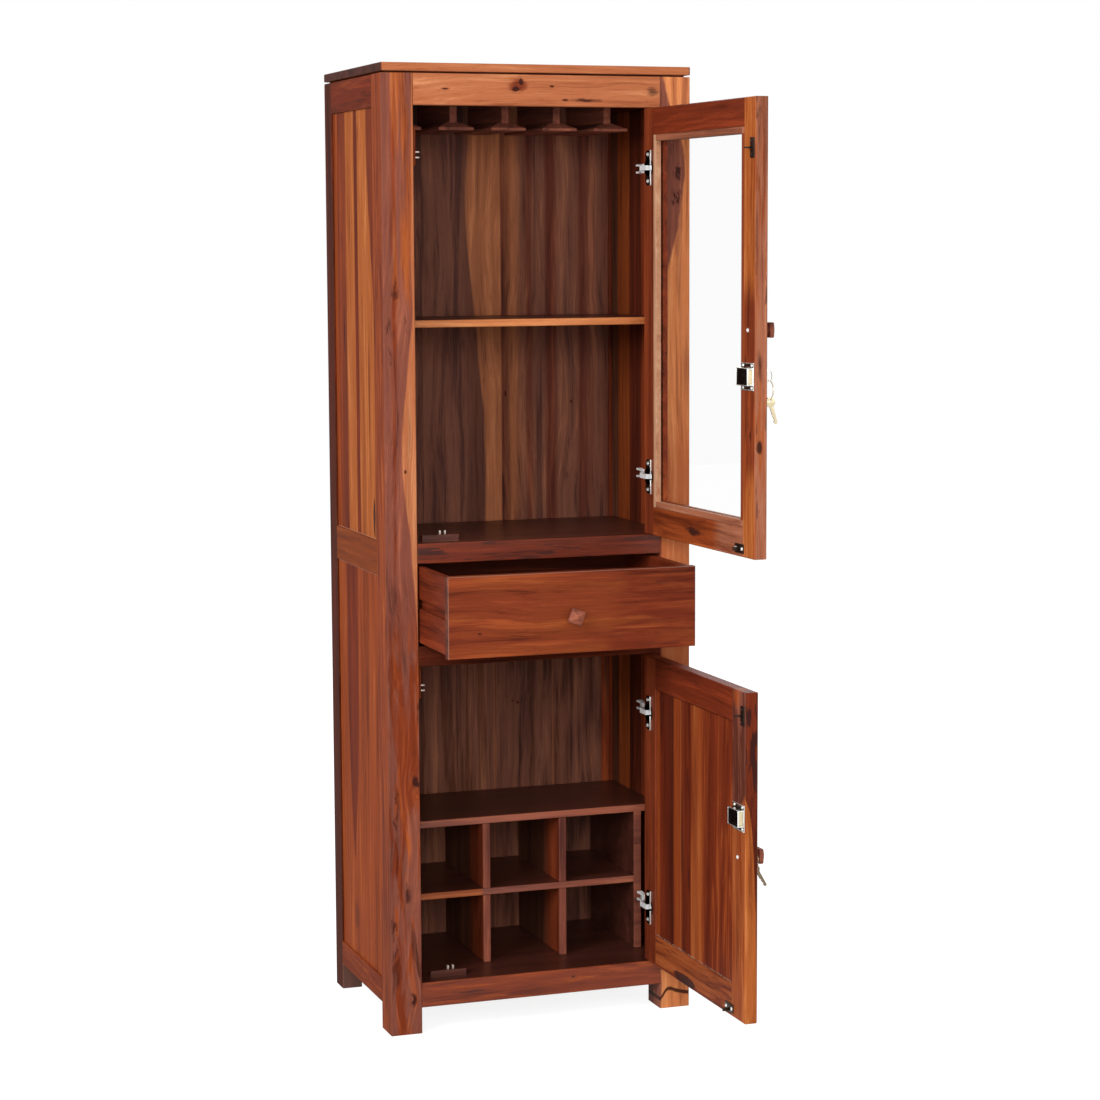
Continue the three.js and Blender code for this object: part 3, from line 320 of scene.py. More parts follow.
class Board(Web):
    """A wood material in the carcass's millimetres, with marks painted where the piece has them.

    A mark is laid where all of its masks are 1."""

    def __init__(self, name, grain, seed, tone, veins, figure, body="cabinet"):
        self.material = new_material(name)
        super().__init__(self.material.node_tree)
        self.at = self.placed(body)
        self.x, self.y, self.z = self.split(self.at)
        self.face("xz")
        self.place = self.along(grain)
        self.seed = seed
        self.tones = [rgb(code) for code in TONES[tone]]
        self.veins, self.figure = veins, figure
        self.bias, self.veil = 0.0, 0.0
        self.over = []
        self.lines = []

    def face(self, axes):
        """Sets the two axes that spots, knots and edges are given in."""
        self.u, self.v = (getattr(self, axis) for axis in axes)

    def along(self, grain):
        order = {"z": "xyz", "x": "zyx", "y": "xzy"}[grain]
        return self.join(*(getattr(self, axis) for axis in order))

    def offset(self, cu, cv, ru, rv):
        """The way from a centre on the face, in half widths and half heights."""
        return self.join(self.math("DIVIDE", self.sub(self.u, cu), ru),
                         self.math("DIVIDE", self.sub(self.v, cv), rv), 0)

    # masks, 0 to 1
    def wobble(self, size, scale, stretch=0.3):
        """Noise in millimetres, for edges of marks that follow the grain."""
        spread = self.vec("MULTIPLY", self.place, (scale, scale, stretch * scale))
        shake = self.vec("ADD", spread, (self.seed if isinstance(self.seed, float) else 0.0, 0, 9))
        return self.mul(self.sub(self.noise(shake, 3, 0.6), 0.5), size)

    def streaks(self, across, along, low, high, seed, bend=0.8):
        """Streaks about so many mm across and along the grain, 1 where the noise is over high."""
        spread = self.vec("MULTIPLY", self.place, (1 / across, 1 / across, 1 / along))
        moved = self.vec("ADD", spread, (seed, seed * 0.7, 0))
        return self.step(self.noise(moved, 4, 0.55, bend), low, high)

    def spot(self, cu, cv, ru, rv, soft=0.9, wobble=0.35):
        """A rough ellipse."""
        far = self.vec("LENGTH", self.offset(cu, cv, ru, rv))
        far = self.add(far, self.wobble(wobble * 2, 0.05, 0.5))
        far = self.add(far, self.wobble(wobble * 1.6, 0.16, 0.22))
        return self.step(far, 1.0, 1.0 - soft)

    def side(self, points, soft, wobble, scale=0.03):
        """1 where the face's first axis lies above the line through points (second, first)."""
        edge = self.add(self.curve(self.v, points), self.wobble(wobble, scale))
        return self.step(self.sub(self.u, edge), -soft, soft)

    def between(self, u, low, high, soft=0.3):
        return self.mul(self.step(self.sub(u, low), -soft, soft),
                        self.step(self.sub(u, high), soft, -soft))

    def by(self, u, at, reach, soft=0.3):
        return self.between(u, at - reach, at + reach, soft)

    def both(self, *masks):
        product = masks[0]
        for mask in masks[1:]:
            product = self.mul(product, mask)
        return product

    def flip(self, mask):
        return self.sub(1.0, mask)

    # marks
    def shade(self, amount, *masks):
        """Darkens or lightens the tone."""
        self.bias = self.add(self.bias, self.mul(self.both(*masks), amount))

    def dusk(self, amount, *masks):
        """Purple-dark heartwood."""
        self.veil = self.math("MAXIMUM", self.veil, self.mul(self.both(*masks), amount))

    def blots(self, rows, *masks, **shape):
        """Spots of heartwood: (amount, then what a spot takes)."""
        for amount, *row in rows:
            self.dusk(amount, *masks, self.spot(*row, **shape))

    def clear(self, *masks):
        """Takes off the heartwood laid so far."""
        self.veil = self.mul(self.veil, self.flip(self.both(*masks)))

    def recolor(self, where, wood):
        self.tones = [self.mix(where, old, wood(i)) for i, old in enumerate(self.tones)]

    def tint(self, tone, *masks):
        """Changes the three tones."""
        self.recolor(self.both(*masks), lambda i: rgb(TONES[tone][i]))

    def strips(self, u, edges, tones, where=1.0):
        """Glued strips across u: each its own wood, with a fine dark glue line between."""
        low, high = edges[0], edges[-1]
        share = self.share(u, low, high)
        starts = [(e - low) / (high - low) for e in edges[:-1]]

        def pick(colors):
            return self.ramp(share, list(zip(starts, colors)), "CONSTANT")

        self.recolor(where, lambda i: pick([rgb(TONES[t][i]) for t in tones.split()]))
        number = self.mul(pick([((i * 0.381 + 0.13) % 1.0,) * 3 + (1,) for i in range(len(starts))]),
                          where)
        self.seed = self.add(self.mul(number, 41.0), self.seed)
        for edge in edges[1:-1]:
            self.lines.append((self.mul(self.by(u, edge, 0.35), where), 0.4))

    def bands(self, u, stops, where=1.0, wobble=9.0):
        """Soft bands of colour along the grain: stops are (u, tone)."""
        low, high = stops[0][0], stops[-1][0]
        share = self.share(self.add(u, self.wobble(wobble, 0.03, 0.12)), low, high)
        self.recolor(where, lambda i: self.ramp(share, [
            ((at - low) / (high - low), rgb(TONES[tone][i])) for at, tone in stops]))

    def cross(self, mask, grain, seed):
        """Another board under a mask: its own grain direction and wood."""
        self.place = self.mix(mask, self.place, self.along(grain), "VECTOR")
        self.seed = self.add(self.mul(mask, seed), self.seed)

    def line(self, amount, *masks):
        """A dark joint; along the lower panel's top edge, also a painted shadow under the rail."""
        self.lines.append((self.both(*masks), amount))

    def paint(self, code, amount, *masks):
        """A colour laid over the wood."""
        self.over.append((self.both(*masks), code, amount))

    def flow(self, cu, cv, ru, rv):
        """Bends the grain round a place on a board that stands upright."""
        way = self.offset(cu, cv, ru, rv)
        near = self.math("EXPONENT", self.mul(self.vec("DOT_PRODUCT", way, way), -1.0))
        shift = self.mul(near, self.mul(self.split(way)[0], -ru * 0.85))
        self.place = self.vec("ADD", self.place, self.join(shift, 0, 0))

    def knot(self, cu, cv, ru, rv):
        """A small knot: a dark heart, a paler ring and a dark halo that the grain runs into."""
        self.dusk(0.45, self.spot(cu, cv, ru * 2.2, rv * 2.2, 0.9, 0.5))
        self.paint("6a2f1a", 0.6, self.spot(cu, cv, ru * 1.25, rv * 1.25, 0.5, 0.3))
        self.paint("25100c", 0.85, self.spot(cu, cv, ru * 0.75, rv * 0.75, 0.5, 0.4))

    def on(self, *nodes, rub_and_highlight=0.4, rough=0.48, gleam=0.05, edge=1.4):
        """Finishes the material and gives it to CAD nodes; edge is the arris in millimetres."""
        light, mid, dark = self.tones
        color, height, gloss = self.node("ShaderNodeGroup", {
            "Place": self.place, "Seed": self.seed, "Light": light, "Mid": mid, "Dark": dark,
            "Vein": VEIN, "Veins": self.veins, "Figure": self.figure, "Bias": self.bias,
            "Veil": self.veil}, node_tree=SHEESHAM).outputs[:3]
        for mask, amount in self.lines:
            color = self.mix(self.mul(mask, amount), color, GLUE)
            height = self.sub(height, self.mul(mask, 1.4))
        # arrises: rounded, and painted lighter in places, partly as rubbed wear and partly as a painted
        # highlight where they catch the light
        bevel = self.node("ShaderNodeBevel", {"Radius": edge / 1000}, samples=3).outputs[0]
        true = self.node("ShaderNodeNewGeometry").outputs["True Normal"]
        turn = self.sub(1.0, self.vec("DOT_PRODUCT", bevel, true))
        patchy = self.noise(self.vec("SCALE", self.at, scale=0.021), 3, 0.6)
        worn_and_highlit = self.mul(self.step(turn, 0.02, 0.22), self.step(patchy, 0.36, 0.66))
        color = self.mix(self.mul(worn_and_highlit, rub_and_highlight), color, RUBBED_AND_HIGHLIT)
        for mask, code, amount in self.over:
            color = self.mix(self.mul(mask, amount), color, rgb(code))
        self.surface({"Base Color": color, "Roughness": self.add(gloss, rough - 0.12),
                      "Specular IOR Level": gleam}, height, 0.25, 0.0006, bevel)
        for name in nodes:
            wear(name, self.material)
        return self.material


def metal(name, code, rough, metallic=1.0, dirt="3a3530", amount=0.3, body="cabinet", marks=None):
    """Metal with fine marks and grime; marks(web, x, y, z) lists (mask, code, metallic, rough)."""
    material = new_material(name)
    w = Web(material.node_tree)
    at = w.placed(body)
    fine = w.noise(w.vec("SCALE", at, scale=0.9), 3, 0.6)
    cloud = w.noise(w.vec("SCALE", at, scale=0.07), 3, 0.6)
    color, metalness, roughness = rgb(code), metallic, rough
    for mask, other, other_metallic, other_rough in (marks(w, *w.split(at)) if marks else ()):
        color = w.mix(mask, color, rgb(other))
        metalness = w.mix(mask, metalness, other_metallic, "FLOAT")
        roughness = w.mix(mask, roughness, other_rough, "FLOAT")
    color = w.mix(w.mul(w.step(cloud, 0.52, 0.78), amount), color, rgb(dirt))
    shade = w.add(w.mul(w.sub(cloud, 0.5), 0.18), w.mul(w.sub(fine, 0.5), 0.08))
    w.surface({"Base Color": color, "Metallic": metalness, "Roughness": w.add(shade, roughness)},
              fine, 0.08, 0.0001)
    return material


# ---------------------------------------------------------------- woods of the carcass
MID_RAIL = (876, 943)  # the middle rail of a side
SIDE_FACE = 299  # a side panel's outer face, from the middle
BACK_JOINT = 810  # where the upper planks of the back meet the lower ones
SHELF_FRONT, RACK_FRONT = 101, 107

b = Board("left_leg_wood", "z", 1.0, "mauve", 0.35, 0.45)
front = b.step(b.y, 6, 2)
flank = b.flip(front)
low = b.both(front, b.step(b.z, 860, 680))
high = b.both(front, b.step(b.z, 1340, 1420))
for swirl in ((-276, 1362, 26, 70), (-252, 470, 22, 60), (-276, 60, 24, 40)):
    b.flow(*swirl)
b.tint("orange", high, b.streaks(12, 210, 0.42, 0.62, 3.1, 0.4), b.step(b.x, -292, -282))
b.dusk(0.35, high, b.step(b.x, -284, -298))
b.tint("rust", front, b.between(b.x, -289, -280, 4), b.streaks(16, 260, 0.44, 0.6, 5.3, 0.4))
b.tint("mauve", low)
b.dusk(0.25, low)
b.tint("rust", low, b.streaks(17, 150, 0.45, 0.6, 8.2, 0.6))
b.tint("copper", low, b.streaks(14, 160, 0.52, 0.66, 8.2, 0.6), b.step(b.x, -301, -290))
b.dusk(0.6, low, b.streaks(18, 130, 0.52, 0.68, 3.6, 0.6))
b.dusk(0.4, low, b.step(b.x, -288, -300))
stripe = b.side([(735, -242), (861, -252), (945, -256), (997, -264), (1056, -270), (1115, -274),
                 (1174, -270), (1233, -262), (1307, -256), (1376, -246), (1446, -252),
                 (1600, -249), (1810, -247)], 1.4, 3)
clean = b.both(front, stripe, b.step(b.z, 560, 760))
b.tint("honey", clean)
swirls = b.streaks(12, 45, 0.34, 0.62, 5.7, 0.7)
b.blots([(0.7, -284, 1400, 20, 60), (0.6, -260, 1352, 20, 36), (0.7, -294, 1320, 18, 80),
         (1.0, -251, 480, 13, 52), (0.8, -292, 440, 16, 90), (0.7, -276, 268, 30, 40),
         (0.9, -296, 180, 14, 100), (0.9, -262, 66, 26, 24)], front, swirls, wobble=0.5)
b.clear(clean)
b.knot(-266, 1076, 3.0, 4.2)
b.tint("copper", flank)
b.tint("rust", flank, b.streaks(9, 200, 0.44, 0.58, 5.5, 0.4))
b.on("front_left_leg", gleam=0.015)

b = Board("right_leg_wood", "z", 3.3, "pale", 0.15, 0.45)
warm = b.side([(1380, 246), (1438, 256), (1485, 268), (1525, 284), (1612, 292), (1682, 298),
               (1750, 262), (1810, 250)], 3, 16, 0.05)
cool = b.flip(warm)
b.tint("mauve", cool)
b.dusk(0.6, cool, b.streaks(14, 80, 0.48, 0.66, 2.4, 0.8))
b.blots([(1.0, 281, 1632, 16.9, 31.2), (1.0, 277, 1583, 15.6, 26)],
        b.streaks(9, 20, 0.34, 0.58, 4.1), wobble=0.6)
b.tint("honey", b.streaks(12, 200, 0.46, 0.66, 7.7, 0.4), warm, b.step(b.z, 1080, 1240))
# painted shade: the right leg's face darker from about z 520 to 1200, and darker still from 640 to 800
b.paint("963a20", 0.45, b.step(b.z, 1200, 1060), b.step(b.z, 520, 660))
b.paint("5a2218", 0.35, b.step(b.z, 800, 760), b.step(b.z, 520, 640))
arch = b.sub(b.z, b.curve(b.x, [(244, 14), (258, 44), (275, 34), (305, 26)]))
b.dusk(1.0, b.between(arch, -4, 4, 3), b.step(b.z, 70, 60))
b.on("front_right_leg", gleam=0.03)

b = Board("rear_left_leg_wood", "z", 5.1, "deep", 0.2, 0.3)
# painted highlight: the rear leg's front face, above its foot, painted a pale grey sheen
b.paint("7a6258", 0.55, b.step(b.y, 357.5, 356.8), b.step(b.z, 60, 55))
b.on("rear_left_leg", gleam=0.01)
Board("rear_right_leg_wood", "z", 6.4, "red", 0.5, 0.4).on("rear_right_leg")

b = Board("slab_wood", "x", 8.0, "honey", 0.1, 0.35)
b.strips(b.y, [-25, 62, 170, 262, 350, 430], "honey orange honey bright honey")
b.tint("dark", b.step(b.x, -302, -304.5))
b.tint("red", b.step(b.x, 302, 304.5))
b.on("top_slab", gleam=0.02)

b = Board("top_rail_wood", "x", 9.2, "honey", 0.0, 0.5)
b.blots([(0.85, 100, 1764, 60, 7), (0.6, 228, 1783, 24, 16)], wobble=0.5)
b.tint("rust", b.spot(-40, 1790, 26, 20, 0.8, 0.6))
b.blots([(0.9, -44, 1783, 9, 9), (0.9, -34, 1797, 6, 11)], soft=0.7, wobble=0.7)
for knot in ((-182, 1782, 9, 2.2), (27, 1789, 5, 2.6), (53, 1764, 8, 2.4)):
    b.knot(*knot)
b.on("front_top_rail")

for number, (side, out) in enumerate((("left", -1), ("right", 1))):
    for end, tone, flame in (("top", "red", "rust"), ("bottom", "rust", "copper")):
        b = Board(f"{side}_{end}_rail_wood", "y", 11.0 + number + len(end), tone, 0.2, 0.4)
        b.tint(flame, b.streaks(14, 150, 0.48, 0.7, 4.4, 0.6))
        b.dusk(0.4, b.streaks(13, 90, 0.54, 0.72, 7.2, 0.6))
        b.on(f"{side}_{end}_rail", gleam=0.01)
    b = Board(f"{side}_panel_wood", "z", 14.0 + number, "orange", 0.1, 0.2)
    b.face("yz")
    outside = b.step(b.x, out * SIDE_FACE, out * (SIDE_FACE + 1))
    rail = b.both(outside, b.between(b.z, *MID_RAIL))
    upper = b.both(b.step(b.z, 905, 911), b.flip(rail))
    lower = b.both(b.step(b.z, 911, 905), b.flip(rail))
    if side == "left":
        b.strips(b.y, [20, 123, 187, 209, 271, 327, 400], "bright bright red bright rust copper", upper)
        b.strips(b.y, [20, 70, 217, 300, 400], "rust copper copper copper", lower)
        shaded = b.side([(940, 84), (1200, 74), (1400, 80), (1550, 108), (1700, 126)], 5, 12)
        b.tint("rust", upper, b.flip(shaded))
        b.blots([(1.0, 68, 1210, 13, 95, 0.7), (1.0, 92, 985, 10, 60, 0.7),
                 (0.8, 292, 1330, 10, 80), (0.5, 300, 1500, 10, 60)], upper)
        wedge = b.between(b.y, b.curve(b.z, [(290, 262), (420, 236), (600, 222), (880, 217)]),
                          b.curve(b.z, [(290, 262), (420, 286), (600, 298), (880, 301)]), 4)
        b.tint("red", wedge, lower, b.step(b.z, 285, 300))
        b.blots([(0.6, 256, 175, 40, 80, 0.95)], lower)
        b.tint("bright", lower, b.step(b.y, 74, 66), b.streaks(8, 200, 0.46, 0.55, 6.1))
    else:
        b.strips(b.y, [20, 100, 191, 254, 319, 400], "orange rust deep amber umber", b.flip(rail))
    b.cross(rail, "y", 5.0)
    b.tint("amber", rail)
    # painted highlight: pale lines along the middle rail's top and bottom arrises on the outer face, where
    # they catch the light
    for level in (MID_RAIL[0] - 0.6, MID_RAIL[1] + 0.6):
        b.paint("b98872", 0.6, outside, b.by(b.z, level, 0.8))
    b.on(f"{side}_side_panel", gleam=0.01)

b = Board("back_wood", "z", 20.0, "dusk", 0.3, 0.35)
upper = b.step(b.z, BACK_JOINT - 0.3, BACK_JOINT + 0.3)
lower = b.step(b.z, BACK_JOINT + 0.3, BACK_JOINT - 0.3)
b.line(0.8, b.by(b.z, BACK_JOINT, 0.7))
b.strips(b.x, [-290, -205, -125, 41, 114, 211, 300], "plum mauve dusk dusk dusk dusk", upper)
b.bands(b.x, [(-290, "plum"), (-200, "dusk"), (-130, "plum"), (-100, "dusk"), (-50, "plum"),
              (-30, "brown"), (39, "brown"), (43, "plum"), (66, "brown"), (88, "dusk"),
              (100, "plum"), (113, "dusk"), (132, "dusk"), (140, "plum"), (153, "plum"),
              (164, "dusk"), (200, "dusk"), (214, "plum"), (250, "dusk"), (279, "plum"),
              (284, "orange"), (300, "orange")], upper, 5.0)
b.strips(b.x, [-290, -52, 24, 146, 252, 300], "dusk dusk dusk dusk rust", lower)
b.tint("umber", lower, b.streaks(16, 300, 0.46, 0.64, 7.9, 0.5))
for seam in (21, 147.5):
    b.paint("9a5a38", 0.45, lower, b.by(b.x, seam, 1.8, 1.0))
curl = b.side([(953, 6), (1161, 5), (1264, -8), (1357, -13), (1470, -28), (1597, -35), (1693, -26)],
              2.5, 4)
dark_plank = b.both(upper, b.flip(curl))
b.tint("brown", upper, curl, b.step(b.x, 41.5, 40.5))
b.tint("dusk", dark_plank)
b.shade(-0.12, dark_plank)
b.dusk(0.5, dark_plank, b.step(b.x, -62, -24))
b.blots([(0.6, -60, 1290, 60, 110)], dark_plank, b.streaks(9, 120, 0.4, 0.6, 4.4))
b.blots([(0.5, 180, 1026, 10, 16)], upper)
for knot in ((50, 1196, 3, 9), (190, 1177, 3, 6), (72, 564, 5, 4), (60, 568, 3, 2)):
    b.knot(*knot)
cathedral = b.math("ABSOLUTE", b.sub(b.x, 228))
arcs = b.math("SINE", b.mul(b.add(b.mul(b.math("POWER", b.math("DIVIDE", cathedral, 30), 2.0), 40),
                                  b.add(b.z, b.wobble(60, 0.02))), 0.032))
b.shade(0.13, lower, b.between(b.x, 169, 290, 2), arcs)
b.on("back_panel")
Board("back_rail_wood", "x", 21.0, "red", 0.5, 0.4).on("back_bottom_rail")

# boards across, each with the front edge that shows: its place, and its tone
# the level of the sub-top's underside, where painted shade is laid
CEILING = 1797
for index, (name, front, tone) in enumerate((
        ("sub_top", None, None), ("display_floor", 3, "red"), ("drawer_deck", 3, "deep"),
        ("bottom_board", 3, "rust"), ("display_shelf", SHELF_FRONT, "stripe"),
        ("rack_top", RACK_FRONT, "mauve"), ("rack_shelf", RACK_FRONT, "mauve"))):
    b = Board(f"{name}_wood", "x", 23.0 + index * 1.7, "dark", 0.3, 0.3)
    if front:
        edge = b.step(b.y, front, front - 2)
        b.tint(tone, edge)
    if name == "display_floor":
        b.dusk(0.7, edge, b.streaks(8, 90, 0.5, 0.62, 2.2))
    elif name == "rack_shelf":
        b.tint("orange", edge, b.step(b.x, -86, -92))
    elif name == "bottom_board":
        b.knot(62, 82, 5, 3)
        b.tint("copper", edge, b.streaks(14, 130, 0.48, 0.66, 3.7, 0.7))
        b.blots([(0.6, -140, 72, 70, 6)], edge)
    elif name == "sub_top":
        # painted shade: the sub-top's underside, the ceiling inside the cabinet, painted near black
        b.paint("1c1412", 0.8, b.step(b.z, CEILING + 2, CEILING + 1))
    dull = name in ("sub_top", "drawer_deck")
    b.on(name, rough=0.7 if dull else 0.34, gleam=0.0 if dull else 0.25)
for index, name in enumerate(("rack_left_divider", "rack_right_divider")):
    b = Board(f"{name}_wood", "z", 36.0 + index * 2.1, "umber", 0.3, 0.3)
    b.tint("rust", b.step(b.y, 215, 150))
    b.tint("mauve", b.step(b.y, RACK_FRONT + 1, RACK_FRONT - 1))
    b.on(name)
b = Board("stem_rail_wood", "y", 41.0, "mauve", 0.2, 0.3)
b.tint("rose", b.step(b.y, 70, 40))
# the stem rails' arrises get more of the painted edge highlight and wear
b.on(*(f"stem_rail_{number}" for number in range(1, 6)), rub_and_highlight=0.6)

# ---------------------------------------------------------------- woods of the doors and drawer
UPPER_STILE, LOWER_STILE = 198, 184  # the stiles' inner edges, from the middle
LOCK_RIM = (-240.8, -241.6)  # the lock stile's outer edge
SIGHT, SIGHT_LOW, SIGHT_HIGH = 187, 1009, 1687  # where the bead's strips meet

b = Board("upper_frame_wood", "z", 44.0, "rust", 0.15, 0.35, body="upper_door")
rails = b.between(b.x, -UPPER_STILE, UPPER_STILE)
b.tint("bright", b.step(b.x, 2 - UPPER_STILE, -UPPER_STILE))
b.cross(rails, "x", 6.0)
b.tint("red", rails)
foot = b.both(rails, b.step(b.z, 1100, 1000))
b.tint("copper", foot)
b.blots([(0.8, 13, 967, 60, 15)], foot)
b.tint("rose", foot, b.step(b.x, -60, -110))
b.tint("red", foot, b.streaks(16, 150, 0.46, 0.78, 1.9, 0.6))
rim = b.step(b.x, *LOCK_RIM)
b.tint("rose", rim)
b.tint("orange", rim, b.streaks(10, 160, 0.5, 0.66, 5.1, 0.6))
b.dusk(0.55, rim, b.streaks(12, 90, 0.5, 0.66, 6.9, 0.8))
b.face("yz")
b.blots([(0.7, 15, 1285, 12, 52), (0.6, 15, 1725, 12, 26), (0.9, 15, 1140, 9, 20, 0.8)], rim)
b.face("xz")
stile = b.both(b.step(b.x, -UPPER_STILE, -UPPER_STILE - 2), b.flip(rim))
b.tint("rust", stile, b.step(b.z, 1450, 1380), b.step(b.z, 1060, 1120))
b.tint("copper", stile, b.streaks(10, 150, 0.5, 0.62, 7.3, 0.6))
b.blots([(0.8, -222, 1180, 16, 90), (0.8, -214, 1255, 12, 40), (0.8, -204, 1310, 10, 40),
         (0.8, -222, 1080, 14, 50)], stile, b.streaks(10, 70, 0.42, 0.62, 2.8, 0.8))
b.on("upper_door_frame")

b = Board("bead_wood", "z", 46.0, "raw", 0.0, 0.2, body="upper_door")
b.cross(b.between(b.x, -SIGHT, SIGHT), "x", 3.0)
b.tint("rust", b.step(b.x, 1 - SIGHT, -1 - SIGHT))
inner = b.step(b.x, SIGHT, SIGHT - 1)
# painted shade: the top bead's strip tinted darker rose, standing for its faces in shade
b.tint("rose", b.step(b.z, SIGHT_HIGH, SIGHT_HIGH + 2), inner)
b.tint("rose", b.step(b.z, SIGHT_LOW, SIGHT_LOW - 2), inner)
b.paint("8a4428", 0.7, b.step(b.x, 186.3, 185.7), b.between(b.z, SIGHT_LOW, SIGHT_HIGH))
b.on("upper_door_bead", rough=0.6)

b = Board("lower_frame_wood", "z", 48.0, "rust", 0.3, 0.45, body="lower_door")
rails = b.between(b.x, -LOWER_STILE, LOWER_STILE)
lock_stile = b.step(b.x, -LOWER_STILE, -LOWER_STILE - 0.6)
b.cross(rails, "x", 6.0)
b.tint("red", rails)
b.blots([(0.5, 10, 690, 110, 10)], rails, b.step(b.z, 600, 640))
foot = b.both(rails, b.step(b.z, 260, 200))
b.tint("orange", foot)
b.tint("rust", foot, b.streaks(12, 150, 0.48, 0.62, 5.2, 0.6))
b.blots([(1.0, 40, 112, 66, 15, 0.4)], rails)
b.face("zx")
high = b.side([(-242, 520), (-232, 512), (-184, 470)], 6, 10)
b.face("xz")
b.tint("orange", lock_stile)
b.tint("copper", lock_stile, b.streaks(11, 170, 0.5, 0.64, 4.7, 0.5))
b.tint("plum", lock_stile, high)
b.dusk(0.35, lock_stile, high, b.streaks(14, 150, 0.42, 0.62, 2.1, 0.6))
b.tint("mauve", lock_stile, high, b.streaks(12, 130, 0.46, 0.62, 3.9, 0.5))
b.tint("copper", lock_stile, b.spot(-202, 692, 22, 26))
b.face("yz")
rim = b.step(b.x, *LOCK_RIM)
pale = b.side([(100, 0), (306, 4), (374, 6), (442, 10), (488, 15), (518, 26), (705, 40)], 0.8, 2)
dim = b.both(rim, b.flip(pale))
b.tint("red", dim)
b.dusk(0.8, dim, b.step(b.z, 430, 560), b.streaks(12, 70, 0.42, 0.55, 3.3))
b.clear(rim, pale)
b.tint("bright", rim, pale)
b.on("lower_door_frame")

b = Board("lower_panel_wood", "z", 50.0, "amber", 0.3, 0.3, body="lower_door")
b.bands(b.x, [(-192, "rust"), (-150, "red"), (-112, "rust"), (-100, "red"), (-48, "rust"),
              (-38, "copper"), (0, "orange"), (12, "copper"), (18, "red"), (58, "rust"),
              (64, "copper"), (96, "copper"), (103, "deep"), (164, "red"), (170, "copper"),
              (192, "copper")], 1.0, 12.0)
for seam in (-104, 14, 99):
    b.line(0.3, b.by(b.x, seam, 0.35))
b.dusk(0.6, b.between(b.x, 18, 62, 3), b.streaks(10, 200, 0.45, 0.6, 1.3))
b.blots([(0.5, 118, 330, 24, 150)], b.between(b.x, 99, 168, 4))
b.paint("c07c4e", 0.6, b.between(b.x, 63, 65.0, 0.8))
b.tint("copper", b.between(b.x, -190, -108, 5), b.streaks(14, 240, 0.47, 0.62, 9.3, 0.8))
b.tint("copper", b.between(b.x, -100, -40, 5), b.streaks(12, 260, 0.52, 0.66, 6.1, 0.6))
b.shade(0.18, b.between(b.x, -40, 14, 3), b.step(b.z, 560, 360))
b.paint("6a1e0a", 0.16, b.step(b.x, -200, -190))
inner = b.step(b.y, 20, 21)
# painted shadow: a dark line along the panel's top edge on the inner side, under the top rail, at its joint
b.line(0.8, inner, b.between(b.z, 644, 646.5))
# painted highlight: a broken pale grey line along the panel's bottom ledge on the inner side, where it
# catches the light
b.paint("a89a90", 0.7, inner, b.between(b.z, 163, 165.5), b.streaks(4, 9, 0.46, 0.54, 2.2))
b.on("lower_door_panel")

b = Board("drawer_front_wood", "x", 53.0, "rust", 0.1, 0.35, body="drawer")
b.tint("amber", b.streaks(34, 360, 0.42, 0.78, 4.8, 0.5))
dim_side = b.side([(760, 60), (800, 90), (830, 70), (870, 110)], 22, 30)
b.dusk(0.45, dim_side, b.streaks(9, 80, 0.42, 0.66, 6.6, 1.4))
b.tint("red", dim_side, b.streaks(20, 160, 0.4, 0.6, 1.7, 0.6))
b.knot(-182, 792, 5, 3)
b.tint("plum", b.step(b.x, -240.4, -241.6))
# painted highlight: a pale grey-pink line along the drawer front's top and left arrises
edges = b.math("MAXIMUM", b.step(b.z, 896.4, 897.3), b.step(b.x, -240.6, -241.3))
b.paint("a87c6c", 0.5, edges, b.step(b.y, 3, 1))
b.on("drawer_front")
b = Board("drawer_side_wood", "y", 55.0, "red", 0.1, 0.25, body="drawer")
b.tint("rust", b.streaks(12, 160, 0.5, 0.66, 2.9, 0.5))
b.on("drawer_left_side", "drawer_right_side")
Board("drawer_inner_wood", "x", 57.0, "deep", 0.3, 0.3, body="drawer").on("drawer_bottom", "drawer_back")
knob_woods = {name: Board(f"{name}_wood", "x", seed, "mauve", 0.1, 0.3).on(name, edge=0.8)
              for name, seed in (("drawer_knob", 60.0), ("upper_knob", 62.0), ("lower_knob", 64.0))}

# ---------------------------------------------------------------- metal and glass
DOOR_INNER, LOCK_FACE = 25.0, 37.5
LEVELS = {
    "upper": {"lock": 1264.0, "hinge_top": 1638.5, "hinge_bottom": 1053.5, "knob": (-214.6, 1345.0)},
    "lower": {"lock": 478.0, "hinge_top": 596.0, "hinge_bottom": 212.5, "knob": (-210.0, 403.0)},
}
LOCK_X = -216.0
CUP_X = 218.0
LEG_FACE = 243.7
ARM_TOP = 224.2


def lock_marks(level):
    """A black lacquered case face in a bright frame, and dull brass about the bolt."""
    def marks(w, x, y, z):
        def within(u, low, high, soft=0.15):
            return w.mul(w.step(u, low - soft, low + soft), w.step(u, high + soft, high - soft))
        face = w.mul(w.step(y, LOCK_FACE - 0.5, LOCK_FACE - 0.3),
                     w.mul(within(x, LOCK_X - 20.6, LOCK_X + 20.6), within(z, level - 14.2, level + 14.2)))
        end = w.mul(w.step(x, LOCK_X - 21.4, LOCK_X - 21.7), within(z, level - 13.2, level + 13.2))
        return [(face, "0c0b0b", 0.0, 0.16), (w.mul(end, w.step(y, 27.4, 27.8)), "d9c9a0", 0.6, 0.34)]
    return marks


nickel = metal("bright_nickel", "e9e8e4", 0.30, metallic=0.75, amount=0.1)
